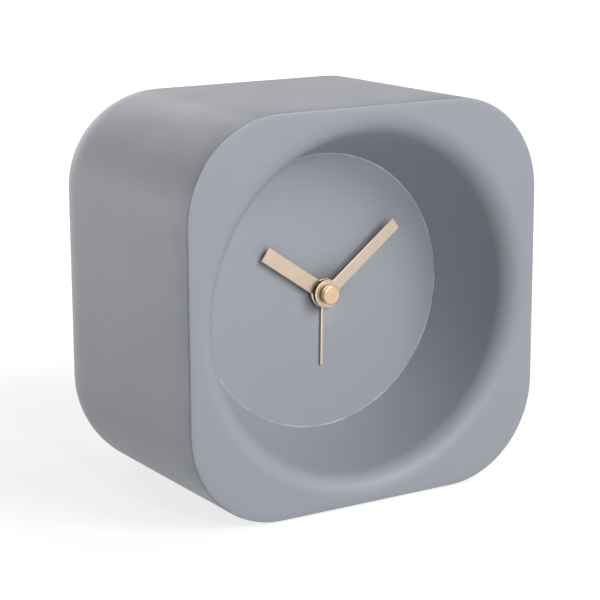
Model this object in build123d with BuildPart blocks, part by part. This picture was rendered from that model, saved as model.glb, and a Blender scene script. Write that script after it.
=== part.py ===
from build123d import *

import os
from math import acos, atan2, cos, degrees, hypot, pi, radians, sin, tan

# Table alarm clock: a rounded-square case with a deep dial funnel and a quartz alarm movement.
# Millimetres, +Z up, the front looks along -Y, the origin lies under the middle of the case.
# A depth is counted from the front plane backwards, and x and z beside the hand axis.

# Case
case_width = 130
case_height = 128
case_depth = 102
corner_radius = 32.2
rear_round = 28
case_wall = 3

# Front bezel with the dial funnel
bezel_rim = 1.6
bezel_edge_round = 0.7
parting_gap = 0.15
skirt_depth = 5
skirt_wall = 1.5
skirt_clearance = 0.15
lip_round = 6
lip_margin = 1.36
funnel_angle = 22.6
funnel_wall = 1.8
floor_thickness = 2.2

# Dial, whose edge leans like the funnel
dial_depth = 28.8
dial_thickness = 1.2
dial_edge_round = 0.2
dial_gap = 0.15

# Screws: shank radius, head and cross recess
screw_radius = 1.2
screw_clearance = 0.05
screw_head_radius = 2.4
screw_head_height = 1.5
screw_head_round = 0.5
screw_recess_length = 2.8
screw_recess_width = 0.7
screw_recess_depth = 0.8
screw_grip = 7

# Joint of bezel and body in the four corners
bezel_boss_radius = 4
bezel_boss_length = 10
bezel_boss_inset = 9.5
lug_thickness = 3

# Well and cover at the back; the well is as wide as the battery door and a margin on both sides
opening_margin = 4.45
opening_height = 64
opening_radius = 5
recess_depth = 9
well_wall = 2.4
ledge_width = 3
ledge_thickness = 2
cover_thickness = 2.6
cover_clearance = 0.2
cover_screw_inset = 4.6
cover_boss_radius = 3.2
cover_boss_length = 8

# Pads under the case
pad_radius = 6
pad_thickness = 1.5
pad_proud = 0.6
pad_span = 44
pad_front_depth = 13
pad_margin = 2

# Hands
hand_thickness = 0.4
hand_edge = 0.1
minute_hand_length = 34
minute_hand_width = 4.2
minute_boss_radius = 4.7
minute_hand_gap = 1.6
minute_collar_wall = 0.8
minute_collar_gap = 0.4
hour_hand_length = 27
hour_hand_width = 5.3
hour_boss_radius = 4.8
hour_hand_gap = 0.7
alarm_hand_length = 24.4
alarm_hand_width = 0.9
alarm_hand_thickness = 0.3
alarm_boss_radius = 4.4
alarm_hand_gap = 0.7
cap_radius = 3.1
cap_height = 2
cap_gap = 0.4
cap_edge_round = 0.35
cap_roof = 0.6

# Time shown, as clock angles of the three hands in degrees
minute_clock_angle = 52.5
hour_clock_angle = 304.4
alarm_clock_angle = 181

# Concentric tubes on the hand axis
seconds_arbor_radius = 0.6
minute_tube_radius = 1.6
hour_tube_radius = 2.5
alarm_tube_radius = 3.3
tube_hole_clearance = 0.6
running_clearance = 0.05
press_clearance = 0.02

# Gear teeth
pressure_angle = radians(20)
addendum_share = 0.75
dedendum_share = 1
thinning_share = 0.15
flank_steps = 2
train_module = 0.4
rotor_module = 0.32
centre_teeth = 64
third_pinion_teeth = 8
third_teeth = 60
seconds_pinion_teeth = 8
seconds_teeth = 40
intermediate_pinion_teeth = 8
intermediate_teeth = 48
rotor_pinion_teeth = 8
cannon_teeth = 12
motion_teeth = 36
motion_pinion_teeth = 10
hour_teeth = 40
time_pinion_teeth = 12
alarm_teeth = 56
alarm_pinion_teeth = 28

# Layers of the movement
plate_thickness = 2
bridge_thickness = 1.5
wheel_thickness = 1
layer_gap = 0.7
pinion_lap = 0.2
rear_wall_thickness = 2

# Movement housing
movement_width = 60
movement_height = 60
movement_corner = 4
movement_wall = 1.8
movement_clearance = 0.3
ear_reach = 36
ear_radius = 4.5
ear_thickness = 2
floor_boss_radius = 4
floor_boss_height = 5
pillar_reach = 24
pillar_radius = 2.6
pillar_screw_grip = 4

# Arbors and posts
third_arbor_radius = 0.7
rotor_arbor_radius = 0.5
post_radius = 0.8
shoulder_radius = 1.6
hub_radius = 2.8
pivot_depth = 1.2
stem_pin_radius = 1
stem_pin_inset = 0.4
stem_radius = 1.8
stem_board_clearance = 0.6
stem_cover_clearance = 0.2
stem_angle = 38.66
third_angle = -90
intermediate_angle = 0
rotor_angle = -55

# Stepping motor
magnet_radius = 2.8
magnet_length = 2.4
magnet_gap = 0.5
stator_thickness = 1
stator_ring_wall = 2.2
stator_bar = 5
stator_leg = 4
stator_leg_offset = 7
coil_drop = 16.7
core_thickness = 1
core_width = 3.6
core_room = 0.1
core_post_radius = 1.5
coil_barrel_radius = 2.4
coil_winding_radius = 3.1
coil_flange_radius = 3.4
coil_flange = 0.8
coil_room = 0.5

# Movement board
board_width = 15
board_height = 22
board_thickness = 1.2
board_standoff = 4
board_x = -19
board_z = -9
board_post_radius = 1.5
board_post_inset = 2.5
chip_side = 5
chip_height = 1.2
chip_z = -4
crystal_radius = 1
crystal_length = 6
crystal_x = -22
crystal_z = -15

# Alarm contact
leaf_width = 3
leaf_thickness = 0.25
leaf_near = 5.5
leaf_far = 19
leaf_foot = 3.5
leaf_gap = 0.3

# Setting knobs
knob_radius = 6.5
knob_height = 6.5
knob_gap = 0.4
knob_roof = 1.5
knob_flutes = 20
knob_flute_radius = 0.75
knob_edge = 0.6
knob_skirt = 1.2

# Alarm switch
switch_z = 20.5
switch_travel = 4
nub_length = 6
nub_width = 3.4
nub_height = 2.6
nub_groove = 0.6
nub_grooves = 3
nub_groove_pitch = 1.4
slot_clearance = 0.2
flange_lap = 1
flange_thickness = 0.8
switch_body_length = 12
switch_body_width = 6

# Control board and buzzer
control_half_width = 28
control_low = -3
control_high = 23.5
control_thickness = 1.6
control_gap = 4.6
control_post_radius = 2
control_post_x = 24
control_post_low = 2
control_post_high = 20
buzzer_radius = 7
buzzer_z = 8
sound_hole_radius = 0.7
sound_ring_radii = (2.4, 4.8)
sound_ring_counts = (6, 12)

# Battery, its tub and its door
battery_radius = 7.25
battery_length = 49.2
nub_radius = 2.75
nub_reach = 1.3
battery_z = -13.5
battery_room = 0.5
tub_wall = 1.4
door_lap = 1.2
door_thickness = 1.6
door_clearance = 0.25
door_corner = 2
door_grip_radius = 4
door_grip_depth = 0.7
contact_side = 10
contact_thickness = 0.4
contact_tab = 3
contact_tab_reach = 4
contact_clearance = 0.1
spring_reach = 3.4
spring_base_radius = 4
spring_tip_radius = 2.4

# Wires between the two boards
wire_radius = 0.5
wire_pitch = 1.8
wire_count = 4
wire_x = -19.3
wire_high = 4
wire_low = -3
wire_bend = 2.5
wire_bend_room = 3.5
wire_hole_room = 1.2

# One overrun serves all cuts
overrun = 1

# Places worked out from the sizes
front_y = -case_depth / 2
axis_z = pad_proud + case_height / 2
hand_axis = Axis((0, 0, axis_z), (0, 1, 0))

floor_front = dial_depth + dial_thickness
floor_rear = floor_front + floor_thickness
funnel_slope = tan(radians(funnel_angle))
lip_tangent = lip_round * tan(radians(90 - funnel_angle) / 2)
lip_start = min(case_width, case_height) / 2 - bezel_edge_round - lip_margin
mouth_radius = lip_start - lip_tangent
floor_radius = mouth_radius - floor_front * funnel_slope
dial_radius = floor_radius - dial_gap
cone_top_radius = mouth_radius - lip_tangent * sin(radians(funnel_angle))
cone_top_depth = lip_tangent * cos(radians(funnel_angle))
funnel_offset = funnel_wall / cos(radians(funnel_angle))

cover_rear = case_depth - recess_depth
cover_front = cover_rear - cover_thickness
pad_rear_depth = case_depth - rear_round - pad_radius - pad_margin

alarm_hand_rear = dial_depth - alarm_hand_gap
alarm_hand_front = alarm_hand_rear - alarm_hand_thickness
hour_hand_rear = alarm_hand_front - hour_hand_gap
hour_hand_front = hour_hand_rear - hand_thickness
minute_hand_rear = hour_hand_front - minute_hand_gap
minute_hand_front = minute_hand_rear - hand_thickness
cap_rear = minute_hand_front - cap_gap
cap_front = cap_rear - cap_height

plate_front = floor_rear
plate_rear = plate_front + plate_thickness
alarm_wheel_front = plate_rear + layer_gap
alarm_wheel_rear = alarm_wheel_front + wheel_thickness
hour_wheel_front = alarm_wheel_rear + layer_gap
hour_wheel_rear = hour_wheel_front + wheel_thickness
motion_wheel_front = hour_wheel_rear + layer_gap
motion_wheel_rear = motion_wheel_front + wheel_thickness
bridge_front = motion_wheel_rear + layer_gap
bridge_rear = bridge_front + bridge_thickness
centre_wheel_front = bridge_rear + layer_gap
centre_wheel_rear = centre_wheel_front + wheel_thickness
third_wheel_front = centre_wheel_rear + layer_gap
third_wheel_rear = third_wheel_front + wheel_thickness
seconds_wheel_front = third_wheel_rear + layer_gap
seconds_wheel_rear = seconds_wheel_front + wheel_thickness
intermediate_wheel_front = seconds_wheel_rear + layer_gap
intermediate_wheel_rear = intermediate_wheel_front + wheel_thickness
magnet_front = intermediate_wheel_rear + layer_gap
magnet_rear = magnet_front + magnet_length
stator_front = magnet_front + (magnet_length - stator_thickness) / 2
stator_rear = stator_front + stator_thickness
core_rear = stator_rear + core_thickness
coil_depth = stator_rear + core_thickness / 2
rear_wall_front = coil_depth + coil_flange_radius + coil_room
rear_wall_rear = rear_wall_front + rear_wall_thickness

# Gear axes: the third and the seconds wheel turn round the hand axis at one distance, so the
# second pair of each such train takes its module from the distance that the first pair sets
third_distance = train_module * (centre_teeth + third_pinion_teeth) / 2
seconds_module = 2 * third_distance / (third_teeth + seconds_pinion_teeth)
intermediate_distance = train_module * (seconds_teeth + intermediate_pinion_teeth) / 2
rotor_distance = rotor_module * (intermediate_teeth + rotor_pinion_teeth) / 2
motion_distance = train_module * (cannon_teeth + motion_teeth) / 2
hour_module = 2 * motion_distance / (hour_teeth + motion_pinion_teeth)
stem_distance = motion_distance + train_module * (motion_teeth + time_pinion_teeth) / 2
alarm_module = 2 * stem_distance / (alarm_teeth + alarm_pinion_teeth)


def beside(distance, angle, start=(0, 0)):
    """Place at a distance and an angle in degrees from a start, counted from +X towards +Z."""
    return start[0] + distance * cos(radians(angle)), start[1] + distance * sin(radians(angle))


third_place = beside(third_distance, third_angle)
intermediate_place = beside(intermediate_distance, intermediate_angle)
rotor_place = beside(rotor_distance, rotor_angle, intermediate_place)
motion_place = beside(motion_distance, 180 - stem_angle)
time_stem_place = beside(stem_distance, 180 - stem_angle)
alarm_stem_place = beside(stem_distance, stem_angle)
coil_x = rotor_place[0]
coil_z = rotor_place[1] - coil_drop
coil_half_length = stator_leg_offset - stator_leg / 2

control_rear = cover_front - control_gap
control_front = control_rear - control_thickness
battery_depth = cover_rear - door_thickness - battery_room - battery_radius
tub_length = 2 * contact_thickness + spring_reach + battery_length + nub_reach
tub_height = 2 * (battery_radius + battery_room)
tub_front = battery_depth - battery_radius - battery_room
door_width = tub_length + 2 * door_lap
door_height = tub_height + 2 * door_lap
opening_width = door_width + 2 * opening_margin
battery_start = -tub_length / 2 + contact_thickness + spring_reach
flange_rear = cover_front - slot_clearance
flange_front = flange_rear - flange_thickness
slot_length = nub_length + switch_travel + 2 * slot_clearance
board_rear = rear_wall_front - board_standoff
board_front = board_rear - board_thickness
leaf_front = hour_wheel_rear + leaf_gap
leaf_rear = leaf_front + leaf_thickness

corner_sides = ((1, 1), (1, -1), (-1, -1), (-1, 1))
boss_reach = (corner_radius - case_wall - bezel_boss_inset) / hypot(1, 1)
boss_x = case_width / 2 - corner_radius + boss_reach
boss_z = case_height / 2 - corner_radius + boss_reach
bezel_boss_places = [(side_x * boss_x, side_z * boss_z) for side_x, side_z in corner_sides]
bezel_boss_rear = bezel_rim + bezel_boss_length
cover_screw_x = opening_width / 2 - cover_screw_inset
cover_screw_z = opening_height / 2 - cover_screw_inset
cover_screw_places = [(side_x * cover_screw_x, side_z * cover_screw_z) for side_x, side_z in corner_sides]
pillar_places = [(side_x * pillar_reach, side_z * pillar_reach) for side_x, side_z in corner_sides]
ear_places = ((ear_reach, 0), (0, -ear_reach), (-ear_reach, 0), (0, ear_reach))
floor_boss_rear = floor_rear + floor_boss_height


def facing(depth, x=0, z=0, clock_angle=0):
    """Plane that looks out of the front, with its y axis at a clock angle; extrudes run forwards."""
    turn = radians(clock_angle)
    return Plane(
        origin=(x, front_y + depth, axis_z + z),
        x_dir=(cos(turn), 0, -sin(turn)),
        z_dir=(0, -1, 0),
    )


def sideways(x, z, depth):
    """Plane that looks along +X, with its x axis backwards and its y axis up."""
    return Plane(origin=(x, front_y + depth, axis_z + z), x_dir=(0, 1, 0), z_dir=(1, 0, 0))


def undercut_shift(teeth):
    """Profile shift, as a share of the module, that keeps a small pinion free of undercut."""
    return max(0, 1 - teeth * sin(pressure_angle) ** 2 / 2)


def involute(angle):
    return tan(angle) - angle


def gear_outline(teeth, module, shift_share, phase):
    """Corner points of an involute gear, thinned for backlash, with a tooth centred on its phase."""
    pitch = teeth * module / 2
    base = pitch * cos(pressure_angle)
    tip = pitch + module * (addendum_share + shift_share)
    root = pitch + module * (shift_share - dedendum_share)
    half_tooth = (pi / 2 + 2 * shift_share * tan(pressure_angle) - thinning_share) / teeth
    start = max(root, base)
    flank = [start + (tip - start) * step / flank_steps for step in range(flank_steps + 1)]
    side = [(r, half_tooth + involute(pressure_angle) - involute(acos(min(1, base / r)))) for r in flank]
    if root < start:
        side.insert(0, (root, side[0][1]))
    points = []
    for tooth in range(teeth):
        centre = phase + 2 * pi * tooth / teeth
        points += [(r * cos(centre - a), r * sin(centre - a)) for r, a in side]
        points += [(r * cos(centre + a), r * sin(centre + a)) for r, a in reversed(side)]
    return points


def gear(front, rear, teeth, mate_teeth, module, phase=0, place=(0, 0)):
    """Gear between two depths, shifted so that neither it nor its mate is undercut."""
    shift_share = undercut_shift(teeth) - undercut_shift(mate_teeth)
    with BuildPart() as disc:
        with BuildSketch(facing(rear, *place)):
            with BuildLine():
                Polyline(*gear_outline(teeth, module, shift_share, phase), close=True)
            make_face()
        extrude(amount=rear - front)
    return disc.part


def meshed_phase(phase, teeth, mate_teeth, angle):
    """Phase of a mate, at an angle in degrees from a gear, whose gap takes the gear's tooth."""
    direction = radians(angle)
    return direction + pi + (direction - phase) * teeth / mate_teeth + pi / mate_teeth


def screw_group(places, seat_depth, grip):
    """Separate screws whose heads sit behind a seat and whose shanks run forwards."""
    with BuildPart() as group:
        with BuildSketch(facing(seat_depth + screw_head_height)):
            with Locations(*places):
                Circle(screw_head_radius)
        extrude(amount=screw_head_height)
        heads = group.faces().filter_by(Axis.Y).group_by(Axis.Y)[-1]
        fillet(heads.edges(), screw_head_round)
        with BuildSketch(facing(seat_depth)):
            with Locations(*places):
                Circle(screw_radius)
        extrude(amount=grip)
        with BuildSketch(facing(seat_depth + screw_head_height)):
            with Locations(*places):
                Rectangle(screw_recess_length, screw_recess_width)
                Rectangle(screw_recess_width, screw_recess_length)
        extrude(amount=screw_recess_depth, mode=Mode.SUBTRACT)
    return group


def funnel_hollow():
    """Open space of the funnel, from in front of the lip down to the dial floor."""
    with BuildPart() as hollow:
        with BuildSketch(Plane.XY.offset(axis_z)):
            with BuildLine():
                Polyline(
                    (cone_top_radius, front_y + cone_top_depth),
                    (floor_radius, front_y + floor_front),
                    (0, front_y + floor_front),
                    (0, front_y - overrun),
                    (lip_start, front_y - overrun),
                    (lip_start, front_y),
                )
                TangentArc((lip_start, front_y), (cone_top_radius, front_y + cone_top_depth), tangent=(-1, 0))
            make_face()
        revolve(axis=hand_axis)
    return hollow.part


# Front: face with the soft lip, and behind it the funnel with the dial floor, which the lip runs into
with BuildPart() as front_bezel:
    with BuildSketch(facing(bezel_rim)):
        RectangleRounded(case_width, case_height, corner_radius)
    extrude(amount=bezel_rim)
    fillet(front_bezel.faces().sort_by(Axis.Y)[0].edges(), bezel_edge_round)
    with BuildSketch(facing(bezel_rim + skirt_depth)):
        skirt_inset = case_wall + skirt_clearance
        RectangleRounded(
            case_width - 2 * skirt_inset, case_height - 2 * skirt_inset, corner_radius - skirt_inset
        )
        offset(amount=-skirt_wall, mode=Mode.SUBTRACT)
    extrude(amount=skirt_depth)
    with BuildSketch(facing(bezel_boss_rear)):
        with Locations(*bezel_boss_places):
            Circle(bezel_boss_radius)
    extrude(amount=bezel_boss_length)
    add(funnel_hollow(), mode=Mode.SUBTRACT)
    with BuildSketch(facing(bezel_boss_rear)):
        with Locations(*bezel_boss_places):
            Circle(screw_radius + screw_clearance)
    extrude(amount=screw_grip, mode=Mode.SUBTRACT)

with BuildPart() as dial_funnel:
    with BuildSketch(Plane.XY.offset(axis_z)):
        with BuildLine():
            Polyline(
                (0, front_y + bezel_rim),
                (mouth_radius - bezel_rim * funnel_slope + funnel_offset, front_y + bezel_rim),
                (mouth_radius - floor_rear * funnel_slope + funnel_offset, front_y + floor_rear),
                (0, front_y + floor_rear),
                close=True,
            )
        make_face()
    revolve(axis=hand_axis)
    add(funnel_hollow(), mode=Mode.SUBTRACT)
    with BuildSketch(facing(floor_boss_rear)):
        with Locations(*ear_places):
            Circle(floor_boss_radius)
    extrude(amount=floor_boss_height)
    with BuildSketch(facing(floor_rear)):
        Circle(alarm_tube_radius + tube_hole_clearance)
    extrude(amount=floor_thickness, mode=Mode.SUBTRACT)
    with BuildSketch(facing(floor_boss_rear)):
        with Locations(*ear_places):
            Circle(screw_radius + screw_clearance)
    extrude(amount=floor_boss_height, mode=Mode.SUBTRACT)

# Body: hollow shell with a well at the back, lugs for the bezel and recesses for the pads
with BuildPart() as case_body:
    with BuildSketch(facing(bezel_rim + parting_gap)):
        RectangleRounded(case_width, case_height, corner_radius)
    extrude(amount=-(case_depth - bezel_rim - parting_gap))
    fillet(case_body.faces().sort_by(Axis.Y)[-1].edges(), rear_round)
    offset(amount=-case_wall, openings=case_body.faces().sort_by(Axis.Y)[0])
    for (place_x, place_z), (side_x, side_z) in zip(bezel_boss_places, corner_sides):
        outward = degrees(atan2(side_x, side_z))
        with BuildSketch(facing(bezel_boss_rear + lug_thickness, place_x, place_z, outward)):
            Circle(bezel_boss_radius)
            Rectangle(
                2 * bezel_boss_radius, bezel_boss_inset + case_wall / 2, align=(Align.CENTER, Align.MIN)
            )
        extrude(amount=lug_thickness)
    with BuildSketch(facing(bezel_boss_rear + lug_thickness)):
        with Locations(*bezel_boss_places):
            Circle(screw_radius + screw_clearance)
    extrude(amount=lug_thickness, mode=Mode.SUBTRACT)
    with BuildSketch(facing(case_depth - case_wall / 2)):
        RectangleRounded(
            opening_width + 2 * well_wall, opening_height + 2 * well_wall, opening_radius + well_wall
        )
    extrude(amount=recess_depth + cover_thickness + ledge_thickness - case_wall / 2)
    with BuildSketch(facing(case_depth + overrun)):
        RectangleRounded(opening_width, opening_height, opening_radius)
    extrude(amount=recess_depth + cover_thickness + overrun, mode=Mode.SUBTRACT)
    with BuildSketch(facing(cover_front)):
        RectangleRounded(
            opening_width - 2 * ledge_width,
            opening_height - 2 * ledge_width,
            opening_radius - ledge_width / 2,
        )
    extrude(amount=ledge_thickness, mode=Mode.SUBTRACT)
    with BuildSketch(facing(cover_front)):
        with Locations(*cover_screw_places):
            Circle(cover_boss_radius)
    extrude(amount=cover_boss_length)
    with BuildSketch(facing(cover_front)):
        with Locations(*cover_screw_places):
            Circle(screw_radius + screw_clearance)
    extrude(amount=screw_grip, mode=Mode.SUBTRACT)
    with BuildSketch(Plane.XY.offset(pad_thickness)):
        for pad_depth in (pad_front_depth, pad_rear_depth):
            with Locations((-pad_span / 2, front_y + pad_depth), (pad_span / 2, front_y + pad_depth)):
                Circle(pad_radius)
    extrude(amount=-pad_thickness, mode=Mode.SUBTRACT)

with BuildPart() as base_pads:
    with BuildSketch():
        for pad_depth in (pad_front_depth, pad_rear_depth):
            with Locations((-pad_span / 2, front_y + pad_depth), (pad_span / 2, front_y + pad_depth)):
                Circle(pad_radius - press_clearance)
    extrude(amount=pad_thickness)

with BuildPart() as dial_plate:
    with BuildSketch(facing(floor_front)):
        Circle(dial_radius)
    extrude(amount=dial_thickness, taper=-funnel_angle)
    fillet(dial_plate.faces().sort_by(Axis.Y)[0].edges(), dial_edge_round)
    with BuildSketch(facing(floor_front)):
        Circle(alarm_tube_radius + tube_hole_clearance)
    extrude(amount=dial_thickness, mode=Mode.SUBTRACT)

bezel_screws = screw_group(bezel_boss_places, bezel_boss_rear + lug_thickness, lug_thickness + screw_grip)
rear_cover_screws = screw_group(cover_screw_places, cover_rear, cover_thickness + screw_grip)


def baton_hand(front, thickness, angle, length, width, boss_radius, hole_radius):
    """Flat hand with a round boss, a square tip and fine bevels along its front edges."""
    with BuildPart() as hand:
        with BuildSketch(facing(front + thickness, clock_angle=angle)):
            Circle(boss_radius)
            Rectangle(width, length, align=(Align.CENTER, Align.MIN))
            Circle(hole_radius + press_clearance, mode=Mode.SUBTRACT)
        extrude(amount=thickness)
        chamfer(hand.faces().sort_by(Axis.Y)[0].outer_wire().edges(), hand_edge)
    return hand


alarm_hand = baton_hand(
    alarm_hand_front, alarm_hand_thickness, alarm_clock_angle,
    alarm_hand_length, alarm_hand_width, alarm_boss_radius, alarm_tube_radius,
)
hour_hand = baton_hand(
    hour_hand_front, hand_thickness, hour_clock_angle,
    hour_hand_length, hour_hand_width, hour_boss_radius, hour_tube_radius,
)
minute_blade = baton_hand(
    minute_hand_front, hand_thickness, minute_clock_angle,
    minute_hand_length, minute_hand_width, minute_boss_radius, minute_tube_radius,
)
with BuildPart() as minute_hand:
    add(minute_blade.part)
    with BuildSketch(facing(minute_hand_rear + minute_hand_gap - minute_collar_gap)):
        Circle(minute_tube_radius + press_clearance + minute_collar_wall)
        Circle(minute_tube_radius + press_clearance, mode=Mode.SUBTRACT)
    extrude(amount=minute_hand_gap - minute_collar_gap)

with BuildPart() as hand_cap:
    with BuildSketch(facing(cap_rear)):
        Circle(cap_radius)
    extrude(amount=cap_height)
    fillet(hand_cap.faces().sort_by(Axis.Y)[0].edges(), cap_edge_round)
    with BuildSketch(facing(cap_rear)):
        Circle(seconds_arbor_radius + press_clearance)
    extrude(amount=cap_height - cap_roof, mode=Mode.SUBTRACT)

# Alarm wheel and hour wheel with the tubes that carry their hands
with BuildPart() as alarm_wheel:
    add(gear(alarm_wheel_front, alarm_wheel_rear, alarm_teeth, alarm_pinion_teeth, alarm_module))
    with BuildSketch(facing(alarm_wheel_rear)):
        Circle(alarm_tube_radius)
    extrude(amount=alarm_wheel_rear - alarm_hand_front)
    with BuildSketch(facing(alarm_wheel_rear)):
        Circle(hour_tube_radius + running_clearance)
    extrude(amount=alarm_wheel_rear - alarm_hand_front, mode=Mode.SUBTRACT)

hour_phase = meshed_phase(0, motion_pinion_teeth, hour_teeth, -stem_angle)
with BuildPart() as hour_wheel:
    add(gear(hour_wheel_front, hour_wheel_rear, hour_teeth, motion_pinion_teeth, hour_module, hour_phase))
    with BuildSketch(facing(hour_wheel_rear)):
        Circle(hour_tube_radius)
    extrude(amount=hour_wheel_rear - hour_hand_front)
    with BuildSketch(facing(hour_wheel_rear)):
        Circle(minute_tube_radius + running_clearance)
    extrude(amount=hour_wheel_rear - hour_hand_front, mode=Mode.SUBTRACT)

# Minute arbor: tube with the cannon pinion, on which the centre wheel slips
with BuildPart() as minute_arbor:
    add(gear(motion_wheel_front, motion_wheel_rear, cannon_teeth, motion_teeth, train_module))
    with BuildSketch(facing(centre_wheel_rear)):
        Circle(minute_tube_radius)
    extrude(amount=centre_wheel_rear - minute_hand_front)
    with BuildSketch(facing(centre_wheel_rear)):
        Circle(seconds_arbor_radius + running_clearance)
    extrude(amount=centre_wheel_rear - minute_hand_front, mode=Mode.SUBTRACT)

motion_phase = meshed_phase(0, cannon_teeth, motion_teeth, 180 - stem_angle)
with BuildPart() as motion_wheel:
    add(
        gear(
            motion_wheel_front, motion_wheel_rear, motion_teeth, cannon_teeth, train_module,
            motion_phase, motion_place,
        )
    )
    add(
        gear(
            hour_wheel_front - pinion_lap, motion_wheel_front, motion_pinion_teeth, hour_teeth, hour_module,
            place=motion_place,
        )
    )
    with BuildSketch(facing(motion_wheel_rear, *motion_place)):
        Circle(post_radius + running_clearance)
    extrude(amount=motion_wheel_rear - hour_wheel_front + pinion_lap, mode=Mode.SUBTRACT)

with BuildPart() as centre_wheel:
    add(gear(centre_wheel_front, centre_wheel_rear, centre_teeth, third_pinion_teeth, train_module))
    with BuildSketch(facing(centre_wheel_rear)):
        Circle(hub_radius)
    extrude(amount=wheel_thickness + layer_gap / 2)
    with BuildSketch(facing(centre_wheel_rear)):
        Circle(minute_tube_radius + running_clearance)
    extrude(amount=wheel_thickness + layer_gap, mode=Mode.SUBTRACT)

third_pinion_phase = meshed_phase(0, centre_teeth, third_pinion_teeth, third_angle)
with BuildPart() as third_wheel:
    add(
        gear(
            third_wheel_front, third_wheel_rear, third_teeth, seconds_pinion_teeth, seconds_module,
            place=third_place,
        )
    )
    add(
        gear(
            centre_wheel_front - pinion_lap, third_wheel_front, third_pinion_teeth, centre_teeth,
            train_module, third_pinion_phase, third_place,
        )
    )
    with BuildSketch(facing(rear_wall_front + pivot_depth - pinion_lap, *third_place)):
        Circle(third_arbor_radius)
    extrude(amount=rear_wall_front + pivot_depth - pinion_lap - bridge_front)

seconds_pinion_phase = meshed_phase(0, third_teeth, seconds_pinion_teeth, third_angle + 180)
with BuildPart() as seconds_wheel:
    add(gear(seconds_wheel_front, seconds_wheel_rear, seconds_teeth, intermediate_pinion_teeth, train_module))
    add(
        gear(
            third_wheel_front - pinion_lap, seconds_wheel_front, seconds_pinion_teeth, third_teeth,
            seconds_module, seconds_pinion_phase,
        )
    )
    with BuildSketch(facing(rear_wall_front + pivot_depth - pinion_lap)):
        Circle(seconds_arbor_radius)
    extrude(amount=rear_wall_front + pivot_depth - pinion_lap - cap_front - cap_roof - press_clearance)

intermediate_pinion_phase = meshed_phase(0, seconds_teeth, intermediate_pinion_teeth, intermediate_angle)
with BuildPart() as intermediate_wheel:
    add(
        gear(
            intermediate_wheel_front, intermediate_wheel_rear, intermediate_teeth, rotor_pinion_teeth,
            rotor_module, place=intermediate_place,
        )
    )
    add(
        gear(
            seconds_wheel_front - pinion_lap, intermediate_wheel_front, intermediate_pinion_teeth,
            seconds_teeth, train_module, intermediate_pinion_phase, intermediate_place,
        )
    )
    with BuildSketch(facing(intermediate_wheel_rear, *intermediate_place)):
        Circle(post_radius + running_clearance)
    extrude(amount=intermediate_wheel_rear - seconds_wheel_front + pinion_lap, mode=Mode.SUBTRACT)

rotor_pinion_phase = meshed_phase(0, intermediate_teeth, rotor_pinion_teeth, rotor_angle)
with BuildPart() as rotor:
    add(
        gear(
            intermediate_wheel_front - pinion_lap, intermediate_wheel_rear + pinion_lap, rotor_pinion_teeth,
            intermediate_teeth, rotor_module, rotor_pinion_phase, rotor_place,
        )
    )
    with BuildSketch(facing(magnet_rear, *rotor_place)):
        Circle(magnet_radius)
    extrude(amount=magnet_length)
    with BuildSketch(facing(rear_wall_front + pivot_depth - pinion_lap, *rotor_place)):
        Circle(rotor_arbor_radius)
    extrude(amount=rear_wall_front + pivot_depth - pinion_lap - bridge_front)

# Movement housing: a tray in front, a bridge across it and a case behind
with BuildPart() as movement_front_plate:
    with BuildSketch(facing(bridge_rear)):
        RectangleRounded(movement_width, movement_height, movement_corner)
    extrude(amount=bridge_rear - plate_front)
    with BuildSketch(facing(bridge_rear)):
        SlotOverall(2 * (ear_reach + ear_radius), 2 * ear_radius)
        SlotOverall(2 * (ear_reach + ear_radius), 2 * ear_radius, rotation=90)
    extrude(amount=bridge_rear - floor_boss_rear)
    with BuildSketch(facing(bridge_rear)):
        RectangleRounded(
            movement_width - 2 * movement_wall,
            movement_height - 2 * movement_wall,
            movement_corner - movement_wall,
        )
    extrude(amount=bridge_rear - plate_rear, mode=Mode.SUBTRACT)
    with BuildSketch(facing(bridge_front)):
        with Locations(*pillar_places):
            Circle(pillar_radius)
            Circle(screw_radius + screw_clearance, mode=Mode.SUBTRACT)
    extrude(amount=bridge_front - plate_rear)
    with BuildSketch(facing(bridge_rear)):
        with Locations(*ear_places):
            Circle(screw_radius + screw_clearance)
    extrude(amount=bridge_rear - floor_boss_rear, mode=Mode.SUBTRACT)
    with BuildSketch(facing(plate_rear)):
        Circle(alarm_tube_radius + running_clearance)
        with Locations(time_stem_place, alarm_stem_place):
            Circle(stem_pin_radius + running_clearance)
    extrude(amount=plate_thickness, mode=Mode.SUBTRACT)

with BuildPart() as movement_bridge:
    with BuildSketch(facing(bridge_rear)):
        bridge_inset = movement_wall + movement_clearance
        RectangleRounded(
            movement_width - 2 * bridge_inset,
            movement_height - 2 * bridge_inset,
            movement_corner - movement_wall,
        )
        Circle(minute_tube_radius + running_clearance, mode=Mode.SUBTRACT)
        with Locations(third_place):
            Circle(third_arbor_radius + running_clearance, mode=Mode.SUBTRACT)
        with Locations(rotor_place):
            Circle(rotor_arbor_radius + running_clearance, mode=Mode.SUBTRACT)
        with Locations(time_stem_place, alarm_stem_place):
            Circle(stem_radius + running_clearance, mode=Mode.SUBTRACT)
        with Locations(*pillar_places):
            Circle(screw_radius + screw_clearance, mode=Mode.SUBTRACT)
    extrude(amount=bridge_thickness)
    with BuildSketch(facing(bridge_front, *motion_place)):
        Circle(shoulder_radius)
    extrude(amount=layer_gap - pinion_lap)
    with BuildSketch(facing(bridge_front, *motion_place)):
        Circle(post_radius)
    extrude(amount=bridge_front - hour_wheel_front)
    with BuildSketch(facing(bridge_front, 0, -leaf_far)):
        Rectangle(leaf_width, leaf_foot, align=(Align.CENTER, Align.MIN))
    extrude(amount=bridge_front - leaf_rear)

with BuildPart() as alarm_contact_leaf:
    with BuildSketch(facing(leaf_rear, 0, -leaf_far)):
        Rectangle(leaf_width, leaf_far - leaf_near, align=(Align.CENTER, Align.MIN))
    extrude(amount=leaf_thickness)

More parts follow.
